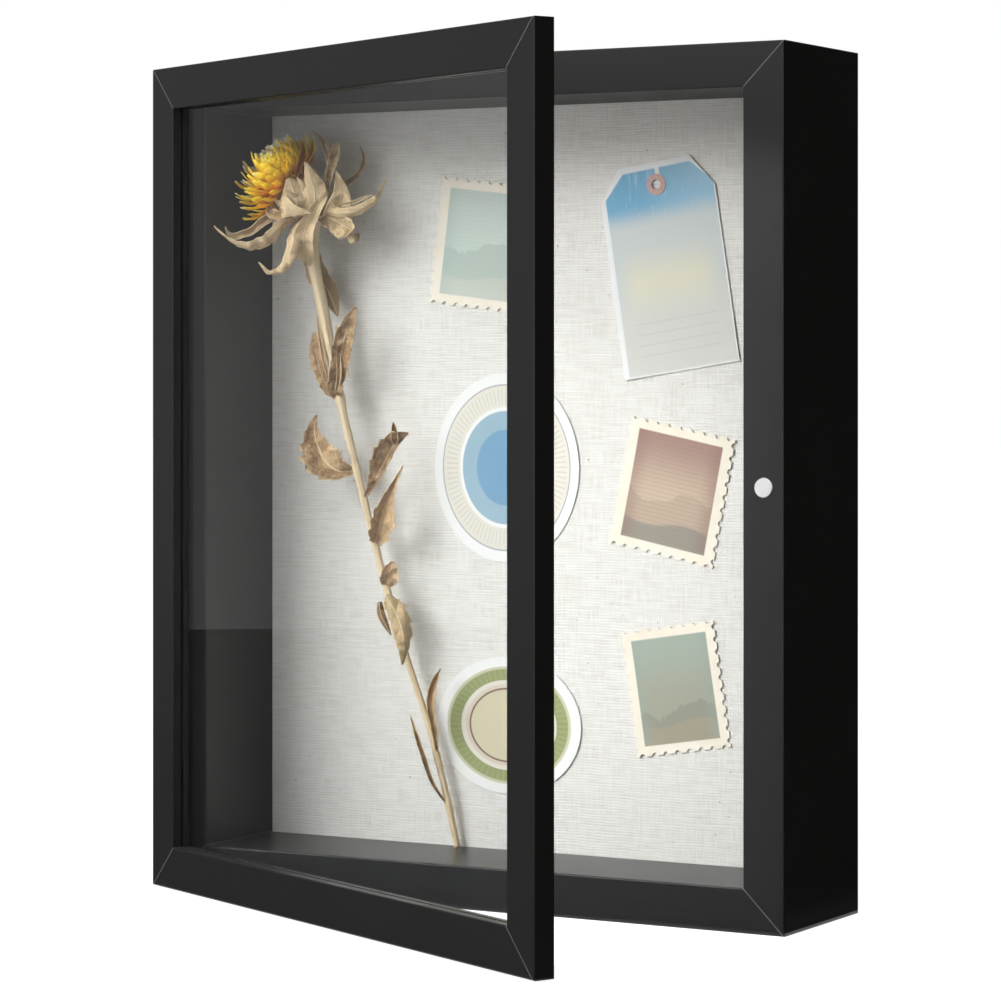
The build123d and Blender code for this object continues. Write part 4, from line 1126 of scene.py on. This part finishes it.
thicken(calyx_piece, 0.18 * MM)

# %% [markdown]
# What all of these grow from is the cup, the swollen end of the stem. Half of its outline, spun round
# the axis, gives the solid, and merging the doubles closes its poles.

# %% The cup
cup = bmesh.new()
cup.loops.layers.uv.new("UVMap")
cup_outline = [
    (0.0, 0.0), (2.3, 0.2), (4.2, 2.0), (6.0, 5.0), (7.0, 8.4), (6.8, 11.6), (5.0, 13.4), (0.0, 14.2)]
rim = [cup.verts.new((out * MM, 0, up * MM)) for out, up in cup_outline]
for first, second in zip(rim, rim[1:]):
    cup.edges.new((first, second))
bmesh.ops.spin(
    cup, geom=cup.verts[:] + cup.edges[:], cent=(0, 0, 0), axis=(0, 0, 1), angle=2 * pi, steps=28,
    use_merge=True)
bmesh.ops.remove_doubles(cup, verts=cup.verts, dist=0.01 * MM)
bmesh.ops.transform(cup, matrix=head_place, verts=cup.verts)
bmesh.ops.recalc_face_normals(cup, faces=cup.faces)
piece(cup, "flower_cup", stem_finish, [])

# %% [markdown]
# The studio is plain: a pale floor, a white surround, a weak lamp behind and a soft one at the front
# left, which throws the flower's shadow to the right on the linen. What the camera, a reflection or a ray
# through glass sees beyond the object is white, while the light from all round is kept lower.


# %% Studio
def seen_share(tree):
    """1 for a ray from the camera, off a glossy surface or through glass, and 0 for any other."""
    path = tree.nodes.new("ShaderNodeLightPath")
    share = path.outputs["Is Camera Ray"]
    for name in ("Is Glossy Ray", "Is Transmission Ray"):
        larger = tree.nodes.new("ShaderNodeMath")
        larger.operation = "MAXIMUM"
        tree.links.new(share, larger.inputs[0])
        tree.links.new(path.outputs[name], larger.inputs[1])
        share = larger.outputs[0]
    return share


surround_light = (0.305, 0.27, 0.23)
world = bpy.data.worlds.new("white_surround")
world.use_nodes = True
bpy.context.scene.world = world
surround = world.node_tree.nodes.new("ShaderNodeMix")
surround.data_type = "RGBA"
surround.inputs[6].default_value = (*surround_light, 1)
surround.inputs[7].default_value = (1, 1, 1, 1)
world.node_tree.links.new(seen_share(world.node_tree), surround.inputs[0])
background = world.node_tree.nodes["Background"]
world.node_tree.links.new(surround.outputs[2], background.inputs["Color"])

glow_share, glow_strength = 0.5, 1.81
pale = Finish("pale_ground", roughness=0.9)
seen = seen_share(pale.tree)
pale.feed("Base Color", pale.blend(seen, (0.42, 0.42, 0.42), (0.9, 0.9, 0.9)))
glow = pale.node("Emission", {"Color": (1, 1, 1), "Strength": glow_strength}).outputs[0]
pale.lay_over(pale.times(seen, glow_share), glow)
ground_shape = bmesh.new()
bmesh.ops.create_grid(ground_shape, x_segments=1, y_segments=1, size=6)
ground = mesh_object(ground_shape, "ground", pale)


def soft_lamp(name, bearing, height, distance, size, power):
    """A square lamp aimed at the case: bearing from the front, positive to the right, in degrees."""
    aim = Vector((0, 0, half_height))
    round_it, above = radians(bearing), radians(height)
    towards = Vector((sin(round_it) * cos(above), -cos(round_it) * cos(above), sin(above)))
    data = bpy.data.lights.new(name, "AREA")
    data.size = size
    data.energy = power
    data.color = (0.975, 0.99, 1.0)
    lamp = bpy.data.objects.new(name, data)
    lamp.location = aim + towards * distance
    lamp.rotation_euler = towards.to_track_quat("Z", "Y").to_euler()
    lamp.visible_glossy = False
    bpy.context.scene.collection.objects.link(lamp)


soft_lamp("key_lamp", -31, 27, 1.6, 0.85, 19.4)
soft_lamp("back_lamp", 160, 35, 1.8, 0.8, 9.0)

# %% [markdown]
# A black frame photographed on white needs cards beside it, or its sides and its glass mirror the white
# room and turn grey. Black felt stands at the right and behind and lies on the floor. The open door
# reflects a dark grey card at the left, and the front of the case a pale one at the front left. Only
# reflections see them: they cast no shadow, and the camera looks through them. The felt at the right is
# the exception, which also keeps the room's light off that side of the case. Both faces of the pane
# reflect, and light from its back face has also passed through glass, so a ray that went through glass
# sees a card only once it has been reflected.


# %% Cards for the reflections
def reflected_card(name, shade, corners, dims=False):
    """A card as bright as its shade, from 0 to 1, which also takes light off the object if it dims."""
    shape = bmesh.new()
    shape.faces.new([shape.verts.new(corner) for corner in corners])
    felt = Finish(name + "_felt", roughness=1.0)
    felt.feed("Base Color", (0.0, 0.0, 0.0))
    felt.feed("Specular IOR Level", 0.0)
    felt.feed("Emission Color", (1.0, 1.0, 1.0))
    felt.feed("Emission Strength", shade)
    path = felt.node("LightPath").outputs
    straight = felt.math("SUBTRACT", path["Is Transmission Ray"], path["Glossy Depth"])
    felt.lay_over(felt.math("MAXIMUM", straight, 0.0), felt.node("BsdfTransparent").outputs[0])
    made = mesh_object(shape, name, felt)
    made.visible_camera = False
    made.visible_diffuse = dims
    made.visible_shadow = False


card_height, floor_card_height = 1.6, 1 * MM


def upright(x_first, y_first, x_last, y_last):
    """The corners of a card that stands on the floor between two places."""
    first, last = (x_first, y_first), (x_last, y_last)
    return [(*first, 0), (*last, 0), (*last, card_height), (*first, card_height)]


def on_floor(x_first, y_first, x_last, y_last):
    """The corners of a card that lies on the floor."""
    corners = [(x_first, y_first), (x_last, y_first), (x_last, y_last), (x_first, y_last)]
    return [(*corner, floor_card_height) for corner in corners]


left_end, right_end, back_end = -1.3, 1.1, 1.5
left_corner, left_back, right_front, floor_seam = -0.95, 0.9, -0.5, 0.13
black, near_black, dark_grey, pale_grey = 0.0, 0.05, 0.20, 0.92
right_card = upright(right_end, right_front, right_end, back_end)
reflected_card("card_on_the_right", black, right_card, dims=True)
reflected_card("card_behind", black, upright(right_end, back_end, -0.1, back_end))
reflected_card("right_floor_card", black, on_floor(floor_seam, right_front, right_end, back_end))
reflected_card("card_on_the_left", dark_grey, upright(left_end, left_back, left_end, left_corner))
reflected_card("card_at_the_front", pale_grey, upright(left_end, left_corner, -0.55, -2.3))
reflected_card("left_floor_card", near_black, on_floor(left_end, -1.2, floor_seam, left_back))
